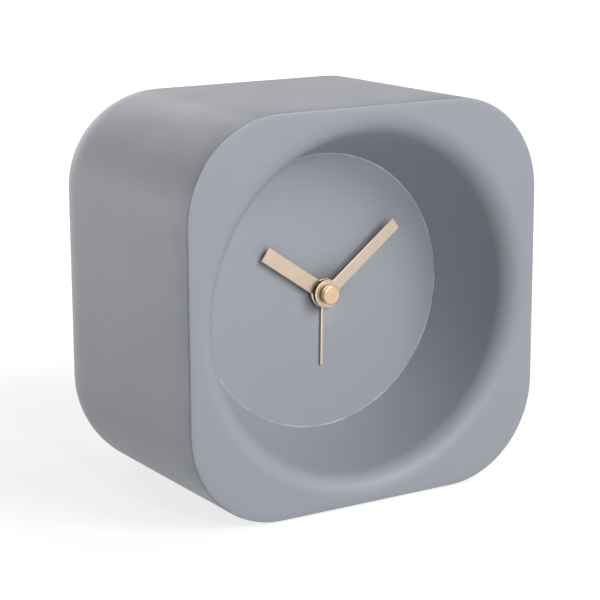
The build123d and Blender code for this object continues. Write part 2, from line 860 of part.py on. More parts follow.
with BuildPart() as movement_rear_case:
    with BuildSketch(facing(rear_wall_rear)):
        RectangleRounded(movement_width, movement_height, movement_corner)
    extrude(amount=rear_wall_rear - bridge_rear)
    with BuildSketch(facing(bridge_rear + ear_thickness)):
        SlotOverall(2 * (ear_reach + ear_radius), 2 * ear_radius)
        SlotOverall(2 * (ear_reach + ear_radius), 2 * ear_radius, rotation=90)
    extrude(amount=ear_thickness)
    with BuildSketch(facing(rear_wall_front)):
        RectangleRounded(
            movement_width - 2 * movement_wall,
            movement_height - 2 * movement_wall,
            movement_corner - movement_wall,
        )
    extrude(amount=rear_wall_front - bridge_rear, mode=Mode.SUBTRACT)
    with BuildSketch(facing(bridge_rear + ear_thickness)):
        with Locations(*ear_places):
            Circle(screw_radius + screw_clearance)
    extrude(amount=ear_thickness, mode=Mode.SUBTRACT)
    with BuildSketch(facing(rear_wall_front, *intermediate_place)):
        Circle(shoulder_radius)
    extrude(amount=rear_wall_front - intermediate_wheel_rear - pinion_lap)
    with BuildSketch(facing(rear_wall_front, *intermediate_place)):
        Circle(post_radius)
    extrude(amount=rear_wall_front - seconds_wheel_front)
    with BuildSketch(facing(rear_wall_front)):
        for side in (-1, 1):
            with Locations(
                (
                    board_x + side * (board_width / 2 - board_post_inset),
                    board_z + side * (board_height / 2 - board_post_inset),
                )
            ):
                Circle(board_post_radius)
    extrude(amount=board_standoff)
    with BuildSketch(facing(rear_wall_front, coil_x, coil_z)):
        with Locations((-stator_leg_offset, 0), (stator_leg_offset, 0)):
            Circle(core_post_radius)
    extrude(amount=rear_wall_front - core_rear)
    with BuildSketch(facing(rear_wall_front + pivot_depth)):
        Circle(seconds_arbor_radius + running_clearance)
        with Locations(third_place):
            Circle(third_arbor_radius + running_clearance)
        with Locations(rotor_place):
            Circle(rotor_arbor_radius + running_clearance)
    extrude(amount=pivot_depth, mode=Mode.SUBTRACT)
    with BuildSketch(facing(rear_wall_rear)):
        with Locations(time_stem_place, alarm_stem_place):
            Circle(stem_radius + running_clearance)
        with Locations((wire_x, wire_low)):
            Rectangle(wire_count * wire_pitch + wire_hole_room, 2 * wire_radius + wire_hole_room)
    extrude(amount=rear_wall_thickness, mode=Mode.SUBTRACT)

movement_screws = screw_group(
    ear_places, bridge_rear + ear_thickness, bridge_rear + ear_thickness - floor_rear - screw_clearance
)
bridge_screws = screw_group(pillar_places, bridge_rear, bridge_thickness + pillar_screw_grip)

# Stepping motor: stator with two legs, core bar, bobbin and winding
with BuildPart() as stator_plate:
    with BuildSketch(facing(stator_rear, *rotor_place)):
        Circle(magnet_radius + magnet_gap + stator_ring_wall)
        Rectangle(2 * stator_leg_offset + stator_leg, stator_bar)
        for side in (-1, 1):
            with Locations((side * stator_leg_offset, stator_bar / 2)):
                Rectangle(
                    stator_leg, coil_drop + stator_bar / 2 + core_width / 2, align=(Align.CENTER, Align.MAX)
                )
        Circle(magnet_radius + magnet_gap, mode=Mode.SUBTRACT)
    extrude(amount=stator_thickness)

with BuildPart() as coil_core:
    with BuildSketch(facing(core_rear, coil_x, coil_z)):
        Rectangle(2 * stator_leg_offset + stator_leg, core_width)
    extrude(amount=core_thickness)

with BuildPart() as coil_bobbin:
    with BuildSketch(sideways(coil_x - coil_half_length, coil_z, coil_depth)):
        Circle(coil_flange_radius)
    extrude(amount=2 * coil_half_length)
    with BuildSketch(sideways(coil_x - coil_half_length + coil_flange, coil_z, coil_depth)):
        Circle(coil_flange_radius)
        Circle(coil_barrel_radius, mode=Mode.SUBTRACT)
    extrude(amount=2 * (coil_half_length - coil_flange), mode=Mode.SUBTRACT)
    with BuildSketch(sideways(coil_x - coil_half_length, coil_z, coil_depth)):
        Rectangle(core_thickness + 2 * core_room, core_width + 2 * core_room)
    extrude(amount=2 * coil_half_length, mode=Mode.SUBTRACT)

with BuildPart() as coil_winding:
    with BuildSketch(sideways(coil_x - coil_half_length + coil_flange + press_clearance, coil_z, coil_depth)):
        Circle(coil_winding_radius)
        Circle(coil_barrel_radius + press_clearance, mode=Mode.SUBTRACT)
    extrude(amount=2 * (coil_half_length - coil_flange - press_clearance))

# Movement board with its chip and crystal
with BuildPart() as movement_board:
    with BuildSketch(facing(board_rear, board_x, board_z)):
        Rectangle(board_width, board_height)
    extrude(amount=board_thickness)

with BuildPart() as driver_chip:
    with BuildSketch(facing(board_front, board_x, chip_z)):
        Rectangle(chip_side, chip_side)
    extrude(amount=chip_height)

with BuildPart() as quartz_crystal:
    with BuildSketch(Plane.XY.offset(axis_z + crystal_z)):
        with Locations((crystal_x, front_y + board_front - crystal_radius - press_clearance)):
            Circle(crystal_radius)
    extrude(amount=crystal_length)


def setting_stem(place, pinion, pin_rear, pinion_rear):
    """Long stem with a pivot pin and a pinion in front, which runs back into its knob."""
    with BuildPart() as stem:
        with BuildSketch(facing(pin_rear, *place)):
            Circle(stem_pin_radius)
        extrude(amount=pin_rear - plate_front - stem_pin_inset)
        add(pinion)
        with BuildSketch(facing(cover_rear + knob_gap + knob_height - knob_roof - press_clearance, *place)):
            Circle(stem_radius)
        extrude(amount=cover_rear + knob_gap + knob_height - knob_roof - press_clearance - pinion_rear)
    return stem


def setting_knob(place):
    """Fluted knob with a plain skirt on the side of the cover."""
    with BuildPart() as knob:
        with BuildSketch(facing(cover_rear + knob_gap + knob_height, *place)):
            Circle(knob_radius)
        extrude(amount=knob_height)
        chamfer(knob.faces().sort_by(Axis.Y)[-1].edges(), knob_edge)
        with BuildSketch(facing(cover_rear + knob_gap + knob_height, *place)):
            with PolarLocations(knob_radius, knob_flutes):
                Circle(knob_flute_radius)
        extrude(amount=knob_height - knob_skirt, mode=Mode.SUBTRACT)
        with BuildSketch(facing(cover_rear + knob_gap + knob_height - knob_roof, *place)):
            Circle(stem_radius + press_clearance)
        extrude(amount=knob_height - knob_roof, mode=Mode.SUBTRACT)
    return knob


time_pinion_phase = meshed_phase(motion_phase, motion_teeth, time_pinion_teeth, 180 - stem_angle)
time_set_stem = setting_stem(
    time_stem_place,
    gear(
        motion_wheel_front - pinion_lap, motion_wheel_rear + pinion_lap, time_pinion_teeth, motion_teeth,
        train_module, time_pinion_phase, time_stem_place,
    ),
    motion_wheel_front - pinion_lap,
    motion_wheel_rear + pinion_lap,
)
alarm_pinion_phase = meshed_phase(0, alarm_teeth, alarm_pinion_teeth, stem_angle)
alarm_set_stem = setting_stem(
    alarm_stem_place,
    gear(
        alarm_wheel_front - pinion_lap, alarm_wheel_rear + pinion_lap, alarm_pinion_teeth, alarm_teeth,
        alarm_module, alarm_pinion_phase, alarm_stem_place,
    ),
    alarm_wheel_front - pinion_lap,
    alarm_wheel_rear + pinion_lap,
)
time_set_knob = setting_knob(time_stem_place)
alarm_set_knob = setting_knob(alarm_stem_place)

# Rear cover: panel with the battery tub, board posts, sound holes, stem holes and switch slot
with BuildPart() as rear_cover:
    with BuildSketch(facing(cover_rear)):
        RectangleRounded(
            opening_width - 2 * cover_clearance,
            opening_height - 2 * cover_clearance,
            opening_radius - cover_clearance,
        )
    extrude(amount=cover_thickness)
    with BuildSketch(facing(cover_front, 0, battery_z)):
        Rectangle(tub_length + 2 * tub_wall, tub_height + 2 * tub_wall)
    extrude(amount=cover_front - tub_front + tub_wall)
    with BuildSketch(facing(cover_front)):
        for post_z in (control_post_low, control_post_high):
            with Locations((-control_post_x, post_z), (control_post_x, post_z)):
                Circle(control_post_radius)
    extrude(amount=control_gap)
    with BuildSketch(facing(cover_rear, 0, battery_z)):
        Rectangle(tub_length, tub_height)
    extrude(amount=cover_rear - tub_front, mode=Mode.SUBTRACT)
    with BuildSketch(facing(cover_rear, 0, battery_z)):
        RectangleRounded(door_width + 2 * door_clearance, door_height + 2 * door_clearance, door_corner)
    extrude(amount=door_thickness, mode=Mode.SUBTRACT)
    with BuildSketch(facing(control_front + contact_clearance)):
        for side in (-1, 1):
            with Locations((side * (tub_length - contact_thickness) / 2, battery_z + tub_height / 2)):
                Rectangle(
                    contact_thickness + 2 * contact_clearance,
                    tub_wall + overrun,
                    align=(Align.CENTER, Align.MIN),
                )
    extrude(amount=contact_tab + 2 * contact_clearance, mode=Mode.SUBTRACT)
    with BuildSketch(facing(cover_rear)):
        with Locations(*cover_screw_places):
            Circle(screw_radius + screw_clearance)
        with Locations(time_stem_place, alarm_stem_place):
            Circle(stem_radius + stem_cover_clearance)
        with Locations((0, switch_z)):
            Rectangle(slot_length, nub_width + 2 * slot_clearance)
        with Locations((0, buzzer_z)):
            Circle(sound_hole_radius)
            for ring_radius, ring_count in zip(sound_ring_radii, sound_ring_counts):
                with PolarLocations(ring_radius, ring_count):
                    Circle(sound_hole_radius)
    extrude(amount=cover_thickness, mode=Mode.SUBTRACT)

with BuildPart() as battery_door:
    with BuildSketch(facing(cover_rear, 0, battery_z)):
        RectangleRounded(door_width, door_height, door_corner - door_clearance)
    extrude(amount=door_thickness)
    with BuildSketch(facing(cover_rear, 0, battery_z + door_height / 2 - door_grip_radius)):
        Circle(door_grip_radius)
        Rectangle(2 * door_grip_radius, door_grip_radius, align=(Align.CENTER, Align.MAX), mode=Mode.SUBTRACT)
    extrude(amount=door_grip_depth, mode=Mode.SUBTRACT)

with BuildPart() as battery_cell:
    with BuildSketch(sideways(battery_start, battery_z, battery_depth)):
        Circle(battery_radius)
    extrude(amount=battery_length)
    with BuildSketch(sideways(battery_start + battery_length, battery_z, battery_depth)):
        Circle(nub_radius)
    extrude(amount=nub_reach)


def battery_contact(start_x):
    """Upright plate at one end of the tub with a tab that rises to the control board."""
    with BuildPart() as contact:
        with BuildSketch(sideways(start_x, battery_z, battery_depth)):
            Rectangle(contact_side, contact_side)
        extrude(amount=contact_thickness)
        with BuildSketch(sideways(start_x, battery_z, control_front)):
            Rectangle(
                contact_tab, control_low + contact_tab_reach - battery_z, align=(Align.MAX, Align.MIN)
            )
        extrude(amount=contact_thickness)
    return contact


battery_plate_contact = battery_contact(tub_length / 2 - contact_thickness)
spring_plate = battery_contact(-tub_length / 2)
with BuildPart() as battery_spring_contact:
    add(spring_plate.part)
    with BuildSketch(sideways(battery_start - spring_reach, battery_z, battery_depth)):
        Circle(spring_base_radius)
    with BuildSketch(sideways(battery_start, battery_z, battery_depth)):
        Circle(spring_tip_radius)
    loft()

# Alarm switch: a slider in the cover's slot over the switch on the board
with BuildPart() as alarm_switch_slider:
    with BuildSketch(facing(flange_rear, -switch_travel / 2, switch_z)):
        Rectangle(slot_length + switch_travel + 2 * flange_lap, nub_width + 2 * (slot_clearance + flange_lap))
    extrude(amount=flange_thickness)
    with BuildSketch(facing(cover_rear + nub_height, -switch_travel / 2, switch_z)):
        Rectangle(nub_length, nub_width)
    extrude(amount=cover_rear + nub_height - flange_rear)
    with BuildSketch(facing(cover_rear + nub_height, -switch_travel / 2, switch_z)):
        with GridLocations(nub_groove_pitch, 0, nub_grooves, 1):
            Rectangle(nub_groove, nub_width)
    extrude(amount=nub_groove, mode=Mode.SUBTRACT)

with BuildPart() as alarm_switch_body:
    with BuildSketch(facing(flange_front - slot_clearance, 0, switch_z)):
        Rectangle(switch_body_length, switch_body_width)
    extrude(amount=flange_front - slot_clearance - control_rear)

with BuildPart() as control_board:
    with BuildSketch(facing(control_rear, 0, control_low)):
        Rectangle(2 * control_half_width, control_high - control_low, align=(Align.CENTER, Align.MIN))
    extrude(amount=control_thickness)
    with BuildSketch(facing(control_rear)):
        with Locations(time_stem_place, alarm_stem_place):
            Circle(stem_radius + stem_board_clearance)
    extrude(amount=control_thickness, mode=Mode.SUBTRACT)

with BuildPart() as buzzer:
    with BuildSketch(facing(cover_front - slot_clearance, 0, buzzer_z)):
        Circle(buzzer_radius)
    extrude(amount=control_gap - slot_clearance)

# Wires: four insulated leads from the control board down to the movement board
with BuildPart() as wire_harness:
    for index in range(wire_count):
        lead_x = wire_x + (index - (wire_count - 1) / 2) * wire_pitch
        with BuildLine() as route:
            FilletPolyline(
                (lead_x, front_y + control_front, axis_z + wire_high),
                (lead_x, front_y + control_front - wire_bend_room, axis_z + wire_high),
                (lead_x, front_y + rear_wall_rear + wire_bend_room, axis_z + wire_low),
                (lead_x, front_y + board_rear, axis_z + wire_low),
                radius=wire_bend,
            )
        with BuildSketch(Plane(origin=route.line @ 0, z_dir=route.line % 0)):
            Circle(wire_radius)
        sweep()

pieces = {
    "front_bezel": front_bezel,
    "dial_funnel": dial_funnel,
    "case_body": case_body,
    "dial_plate": dial_plate,
    "rear_cover": rear_cover,
    "rear_cover_screws": rear_cover_screws,
    "bezel_screws": bezel_screws,
    "base_pads": base_pads,
    "hour_hand": hour_hand,
    "minute_hand": minute_hand,
    "alarm_hand": alarm_hand,
    "hand_cap": hand_cap,
    "movement_front_plate": movement_front_plate,
    "movement_bridge": movement_bridge,
    "movement_rear_case": movement_rear_case,
    "movement_screws": movement_screws,
    "bridge_screws": bridge_screws,
    "alarm_wheel": alarm_wheel,
    "hour_wheel": hour_wheel,
    "minute_arbor": minute_arbor,
    "motion_wheel": motion_wheel,
    "centre_wheel": centre_wheel,
    "third_wheel": third_wheel,
    "seconds_wheel": seconds_wheel,
    "intermediate_wheel": intermediate_wheel,
    "rotor": rotor,
    "stator_plate": stator_plate,
    "coil_core": coil_core,
    "coil_bobbin": coil_bobbin,
    "coil_winding": coil_winding,
    "movement_board": movement_board,
    "quartz_crystal": quartz_crystal,
    "driver_chip": driver_chip,
    "alarm_contact_leaf": alarm_contact_leaf,
    "time_set_stem": time_set_stem,
    "time_set_knob": time_set_knob,
    "alarm_set_stem": alarm_set_stem,
    "alarm_set_knob": alarm_set_knob,
    "alarm_switch_slider": alarm_switch_slider,
    "alarm_switch_body": alarm_switch_body,
    "control_board": control_board,
    "buzzer": buzzer,
    "battery_cell": battery_cell,
    "battery_door": battery_door,
    "battery_plate_contact": battery_plate_contact,
    "battery_spring_contact": battery_spring_contact,
    "wire_harness": wire_harness,
}

os.makedirs("parts", exist_ok=True)
for name, piece in pieces.items():
    piece.part.label = name
    export_step(piece.part, f"parts/{name}.step")
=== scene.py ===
from math import atan2, cos, pi, radians, sin, sqrt, tan

import bmesh
import bpy
from bpy.props import FloatProperty, FloatVectorProperty, IntProperty, PointerProperty
from mathutils import Matrix, Vector


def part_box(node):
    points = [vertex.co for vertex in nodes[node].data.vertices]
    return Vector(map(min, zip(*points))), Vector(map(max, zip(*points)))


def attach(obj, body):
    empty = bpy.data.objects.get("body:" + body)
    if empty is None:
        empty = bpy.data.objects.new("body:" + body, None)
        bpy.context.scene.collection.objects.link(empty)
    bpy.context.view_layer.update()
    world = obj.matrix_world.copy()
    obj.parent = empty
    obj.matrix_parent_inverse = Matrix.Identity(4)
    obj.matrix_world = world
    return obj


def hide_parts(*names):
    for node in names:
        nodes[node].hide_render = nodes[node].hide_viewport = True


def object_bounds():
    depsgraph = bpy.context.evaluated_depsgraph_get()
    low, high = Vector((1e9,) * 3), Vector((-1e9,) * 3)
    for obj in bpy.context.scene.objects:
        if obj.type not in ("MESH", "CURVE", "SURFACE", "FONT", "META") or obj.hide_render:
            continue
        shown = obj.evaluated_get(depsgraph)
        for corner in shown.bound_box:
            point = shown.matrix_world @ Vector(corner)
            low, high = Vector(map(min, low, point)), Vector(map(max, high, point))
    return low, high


bl_info = {
    "name": "Table alarm clock",
    "version": (1, 0, 0),
    "blender": (4, 5, 0),
    "location": "3D View > Sidebar > Clock",
    "description": "Dresses the packed table alarm clock: case, dial, hands, back and movement",
    "category": "Object",
}

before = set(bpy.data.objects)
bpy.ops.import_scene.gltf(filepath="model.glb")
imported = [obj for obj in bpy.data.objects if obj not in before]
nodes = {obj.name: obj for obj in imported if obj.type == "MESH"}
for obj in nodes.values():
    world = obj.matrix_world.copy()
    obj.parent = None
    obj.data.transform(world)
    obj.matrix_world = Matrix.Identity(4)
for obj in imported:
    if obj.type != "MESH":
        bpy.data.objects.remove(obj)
cad_low, cad_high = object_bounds()
body_low, body_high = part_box("case_body")
dial_low, dial_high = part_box("dial_plate")

MM = 0.001
FRONT_Y = cad_low.y
AXIS_Z = (body_low.z + body_high.z) / 2
CORNER_STEPS = 24
SIDE_STEPS = 32
FLOAT, VECTOR, INTEGER = "NodeSocketFloat", "NodeSocketVector", "NodeSocketInt"
OBJECT, MATERIAL, GEOMETRY = "NodeSocketObject", "NodeSocketMaterial", "NodeSocketGeometry"


def length(name, description, default):
    return FloatProperty(
        name=name, description=description, default=default, min=0, unit="LENGTH", precision=5
    )


def offset(name, description, default):
    return FloatProperty(
        name=name, description=description, default=default, unit="LENGTH", precision=5
    )


def angle(name, description, degrees):
    return FloatProperty(
        name=name, description=description, default=radians(degrees), unit="ROTATION"
    )


def colour(name, description, default):
    return FloatVectorProperty(
        name=name, description=description, default=default, size=3, min=0, max=1, subtype="COLOR"
    )


def power(name, description, default):
    return FloatProperty(name=name, description=description, default=default, min=0)


class ClockCase(bpy.types.PropertyGroup):
    """Sizes and paint of the case"""

    width: length("Width", "Width of the case", body_high.x - body_low.x)
    height: length("Height", "Height of the case without its pads", body_high.z - body_low.z)
    depth: length("Depth", "Depth from the front plane to the back", cad_high.y - cad_low.y)
    corner: length("Corner radius", "Radius of the four long corners", 32.2 * MM)
    rear_round: length("Rear round", "Radius that softens the back", 28 * MM)
    wall: length("Wall", "Thickness of the body's wall", 3 * MM)
    rim: length("Rim depth", "Depth of the front's outer rim", 0.55 * MM)
    edge_round: length("Edge round", "Radius of the front's outer edge", 0.45 * MM)
    crown: length("Crown", "How far the face falls away at its outer edge", 0.3 * MM)
    crown_width: length("Crown width", "Width of the band that falls away", 2.2 * MM)
    parting: length("Parting gap", "Gap between the front and the body", 0.05 * MM)
    chamfer: length("Parting chamfer", "Broken edge on both sides of the parting gap", 0.05 * MM)
    skirt: length("Skirt depth", "Depth of the front's locating skirt", 6 * MM)
    skirt_inset: length("Skirt inset", "Distance of the skirt from the outside", 3.15 * MM)
    skirt_wall: length("Skirt wall", "Thickness of the skirt", 1.5 * MM)
    lip_margin: length("Lip margin", "Flat face left beside the lip", 2.06 * MM)
    lip_round: length("Lip round", "Radius of the soft lip of the funnel", 8 * MM)
    steep: angle("Steepest slope", "Slope of the funnel wall where it leaves the lip", 15)
    funnel_wall: length("Funnel wall", "Thickness of the funnel wall", 2 * MM)
    floor_radius: length("Floor radius", "Radius of the funnel at the dial floor", 44.95 * MM)
    floor: length("Floor", "Thickness of the dial floor", 2.2 * MM)
    dial_gap: length("Dial gap", "Gap round the dial", 0.02 * MM)
    floor_hole: length("Floor hole", "Radius of the hole for the hand tubes", 3.9 * MM)
    well_width: length("Well width", "Width of the opening at the back", 66 * MM)
    well_height: length("Well height", "Height of the opening at the back", 64 * MM)
    well_corner: length("Well corner", "Corner radius of the opening", 5 * MM)
    well_depth: length("Well depth", "Depth from the back to the ledge under the cover", 11.6 * MM)
    well_wall: length("Well wall", "Thickness of the well's wall", 2.4 * MM)
    well_edge: length("Well edge", "Round on the edge of the opening", 0.6 * MM)
    ledge: length("Ledge", "Width of the ledge that carries the cover", 3 * MM)
    ledge_depth: length("Ledge depth", "Thickness of that ledge", 2 * MM)
    paint: colour("Paint", "Grey lacquer of the case", (0.305, 0.32, 0.357))
    dial_paint: colour("Dial", "Grey of the dial", (0.322, 0.337, 0.374))


class ClockHands(bpy.types.PropertyGroup):
    """Sizes and finish of the hands"""

    minute_length: length("Minute hand", "Length of the minute hand", 34 * MM)
    minute_width: length("Minute width", "Width of the minute hand", 4.2 * MM)
    minute_boss: length("Minute boss", "Boss radius of the minute hand", 4.7 * MM)
    minute_angle: angle("Minute angle", "Clock angle of the minute hand", 52.5)
    hour_length: length("Hour hand", "Length of the hour hand", 27 * MM)
    hour_width: length("Hour width", "Width of the hour hand", 5.3 * MM)
    hour_boss: length("Hour boss", "Boss radius of the hour hand", 4.8 * MM)
    hour_angle: angle("Hour angle", "Clock angle of the hour hand", 304.4)
    alarm_length: length("Alarm hand", "Length of the alarm hand", 24.4 * MM)
    alarm_width: length("Alarm width", "Width of the alarm hand", 0.9 * MM)
    alarm_boss: length("Alarm boss", "Boss radius of the alarm hand", 4.4 * MM)
    alarm_angle: angle("Alarm angle", "Clock angle of the alarm hand", 181)
    # The bevel's brightness is a painted highlight in the hand finish.
    bevel: length("Bevel", "Bright bevel along the front edges", 0.3 * MM)
    cap_round: length("Cap round", "Edge round of the cap", 0.35 * MM)
    champagne: colour("Champagne", "Satin finish of the hands", (0.505, 0.415, 0.325))
    gold: colour("Gold", "Polished finish of the cap", (0.67, 0.49, 0.31))


class ClockBack(bpy.types.PropertyGroup):
    """Sizes and finish of the back"""

    flutes: IntProperty(name="Flutes", description="Flutes round a setting knob", default=20, min=3)
    flute_depth: length("Flute depth", "Depth of the flutes", 0.62 * MM)
    head: length("Screw head", "Radius of the screw heads", 2.4 * MM)
    head_height: length("Head height", "Height of the screw heads", 1.5 * MM)
    recess: length("Recess", "Length of the cross recess", 2.8 * MM)
    recess_width: length("Recess width", "Width of the cross recess", 0.7 * MM)
    mark: length("Mark height", "How far marks stand out of the cover", 0.15 * MM)
    letters: length("Letters", "Height of the letters at the switch", 2.3 * MM)
    spring_turns: FloatProperty(
        name="Spring turns", description="Turns of the battery spring", default=4.5, min=1
    )
    spring_wire: length("Spring wire", "Radius of the spring wire", 0.3 * MM)
    plastic: colour("Plastic", "Moulded cover and battery door", (0.15, 0.155, 0.17))
    control: colour("Controls", "Knobs and switch", (0.028, 0.029, 0.032))
    rubber: colour("Rubber", "Pads under the case", (0.03, 0.03, 0.032))


class ClockStage(bpy.types.PropertyGroup):
    """Camera and light"""

    azimuth: angle("Azimuth", "Camera's turn round the clock", -32.12)
    elevation: angle("Elevation", "Camera's height as an angle", 13.023)
    roll: angle("Roll", "Camera's roll", -0.257)
    distance: length("Distance", "Camera's distance from the front", 610.46 * MM)
    aside: offset("Aside", "Camera's sideways offset", -22.26 * MM)
    above: offset("Above", "Camera's upward offset", 2.697 * MM)
    lens: FloatProperty(
        name="Lens", description="Focal length in millimetres", default=116.66, unit="CAMERA"
    )
    key: power("Key light", "Power of the large light on the right, in watts", 62)
    front: power("Front light", "Power of the low light in front, in watts", 3.8)
    glint: power("Glint light", "Power of the small light above on the left, in watts", 1.7)
    top: power("Top light", "Power of the light overhead, in watts", 3)
    back: power("Back light", "Power of the light behind, in watts", 4)
    left: power("Left light", "Power of the light on the left, in watts", 4.6)
    ambient: power("Ambient", "Strength of the surroundings", 0.02)
    floor: colour("Floor", "Pale floor", (0.8, 0.8, 0.8))


def fill(tree, socket, value):
    """Links an input to another node's output, or sets its value."""
    if isinstance(value, bpy.types.NodeSocket):
        tree.links.new(value, socket)
    else:
        socket.default_value = value


def fill_all(tree, sockets, values):
    for key, value in values.items():
        fill(tree, sockets[key], value)


def node(tree, kind, inputs=None, **settings):
    """Adds a node, sets it up, and links or fills its inputs."""
    made = tree.nodes.new(kind)
    for key, value in settings.items():
        setattr(made, key, value)
    fill_all(tree, made.inputs, inputs or {})
    return made


def node_tree(name, kind, inputs, outputs):
    """Adds a group tree with named sockets; returns it with what it is given and puts out."""
    tree = bpy.data.node_groups.new(name, kind)
    for in_out, sockets in (("INPUT", inputs), ("OUTPUT", outputs)):
        for socket, socket_kind in sockets.items():
            tree.interface.new_socket(socket, in_out=in_out, socket_type=socket_kind)
    given = tree.nodes.new("NodeGroupInput").outputs
    return tree, given, tree.nodes.new("NodeGroupOutput").inputs


def effect_tree(name, inputs, outputs):
    """Shader group that turns a place and some numbers into others."""
    sockets = {"Vector": VECTOR, **dict.fromkeys(inputs, FLOAT)}
    return node_tree(name, "ShaderNodeTree", sockets, dict.fromkeys(outputs, FLOAT))


def shape_tree(name, inputs):
    """Geometry tree that makes a piece of one material."""
    sockets = {**inputs, "Material": MATERIAL}
    return node_tree(name, "GeometryNodeTree", sockets, {"Geometry": GEOMETRY})


def calculated(tree, operation, *values):
    """Result of a sum on numbers or sockets."""
    return node(tree, "ShaderNodeMath", dict(enumerate(values)), operation=operation).outputs[0]


def noise(tree, place, scale, detail):
    values = {"Vector": place, "Scale": scale, "Detail": detail}
    return node(tree, "ShaderNodeTexNoise", values).outputs[0]


def attribute(tree, name):
    """Value that the mesh carries at each point."""
    return node(tree, "ShaderNodeAttribute", attribute_name=name).outputs["Fac"]


def ranged(tree, value, low, high, start=0.3, end=0.7):
    """Value spread from the usual span of a noise to a low and a high limit."""
    limits = {"From Min": start, "From Max": end, "To Min": low, "To Max": high}
    return node(tree, "ShaderNodeMapRange", {"Value": value, **limits}).outputs[0]


def shaded(base, factor):
    return (*(min(1, channel * factor) for channel in base), 1)


def mixed(tree, factor, first, second):
    """Colour between two others."""
    colours = {0: factor, 6: first, 7: second}
    return node(tree, "ShaderNodeMix", colours, data_type="RGBA").outputs[2]


def toned(tree, factor, base, dark, light):
    """Colour between a darker and a lighter tone of its base."""
    return mixed(tree, factor, shaded(base, dark), shaded(base, light))


def bumped(tree, height, strength, distance=0.1 * MM):
    values = {"Height": height, "Strength": strength, "Distance": distance}
    return node(tree, "ShaderNodeBump", values).outputs["Normal"]


def lacquer_skin_group():
    """Orange peel, slow mottle and haze of sprayed lacquer."""
    haze_to_mottle = 5.3
    tree, given, out = effect_tree("Lacquer skin", ("Peel", "Mottle"), ("Height", "Tone", "Haze"))
    place, mottle = given["Vector"], given["Mottle"]
    haze_scale = calculated(tree, "MULTIPLY", mottle, haze_to_mottle)
    fill_all(tree, out, {
        "Height": noise(tree, place, given["Peel"], detail=3),
        "Tone": noise(tree, place, mottle, detail=4),
        "Haze": noise(tree, place, haze_scale, detail=5),
    })
    return tree


def rubbed_and_highlit_edge_group():
    """Mask of edges that hands have rubbed and of edges painted pale as a highlight, broken up by
    noise.
    """
    unworn, worn = 0.38, 0.66
    tree, given, out = effect_tree("Rubbed edge", ("Wear", "Breakup"), ("Mask",))
    patches = noise(tree, given["Vector"], given["Breakup"], detail=5)
    gate = ranged(tree, patches, 0, 1, unworn, worn)
    fill(tree, out["Mask"], calculated(tree, "MULTIPLY", given["Wear"], gate))
    return tree


def brushed_group():
    """Fine lines that run along a hand or round a turned face, with a slow tone."""
    slow_scale = 240
    tree, given, out = effect_tree("Brushed lines", ("Across", "Along"), ("Height", "Tone"))
    place, across = given["Vector"], given["Across"]
    stretch = node(tree, "ShaderNodeCombineXYZ", {"X": across, "Y": given["Along"], "Z": across})
    stretched = {0: place, 1: stretch.outputs[0]}
    lines_at = node(tree, "ShaderNodeVectorMath", stretched, operation="MULTIPLY").outputs[0]
    lines = noise(tree, lines_at, scale=1, detail=4)
    slow = noise(tree, place, slow_scale, detail=2)
    fill_all(tree, out, {"Height": lines, "Tone": calculated(tree, "MULTIPLY", lines, slow)})
    return tree


def moulded_grain_group():
    """Eroded-mould grain of a plastic part, with a slow tone."""
    slow_to_grain = 0.04
    tree, given, out = effect_tree("Moulded grain", ("Grain",), ("Height", "Tone"))
    place, grain = given["Vector"], given["Grain"]
    pits = {"Vector": place, "Scale": grain}
    cells = node(tree, "ShaderNodeTexVoronoi", pits).outputs["Distance"]
    rough = noise(tree, place, grain, detail=4)
    slow_scale = calculated(tree, "MULTIPLY", grain, slow_to_grain)
    fill_all(tree, out, {
        "Height": calculated(tree, "MULTIPLY", cells, rough),
        "Tone": noise(tree, place, slow_scale, detail=4),
    })
    return tree


group_makers = {
    "skin": lacquer_skin_group,
    "rubbed": rubbed_and_highlit_edge_group,
    "brushed": brushed_group,
    "grain": moulded_grain_group,
}
groups = {}


def placed_group(tree, key, inputs):
    """Outputs of that effect's shader group, which is built when first asked for."""
    if key not in groups:
        groups[key] = group_makers[key]()
    return node(tree, "ShaderNodeGroup", inputs, node_tree=groups[key]).outputs


def new_finish(name):
    """Material with an empty tree, its Principled shader's inputs, and Object coordinates."""
    material = bpy.data.materials.new(name)
    material.use_nodes = True
    tree = material.node_tree
    tree.nodes.clear()
    shader = node(tree, "ShaderNodeBsdfPrincipled")
    node(tree, "ShaderNodeOutputMaterial", {"Surface": shader.outputs[0]})
    place = node(tree, "ShaderNodeTexCoord").outputs["Object"]
    return material, tree, shader.inputs, place


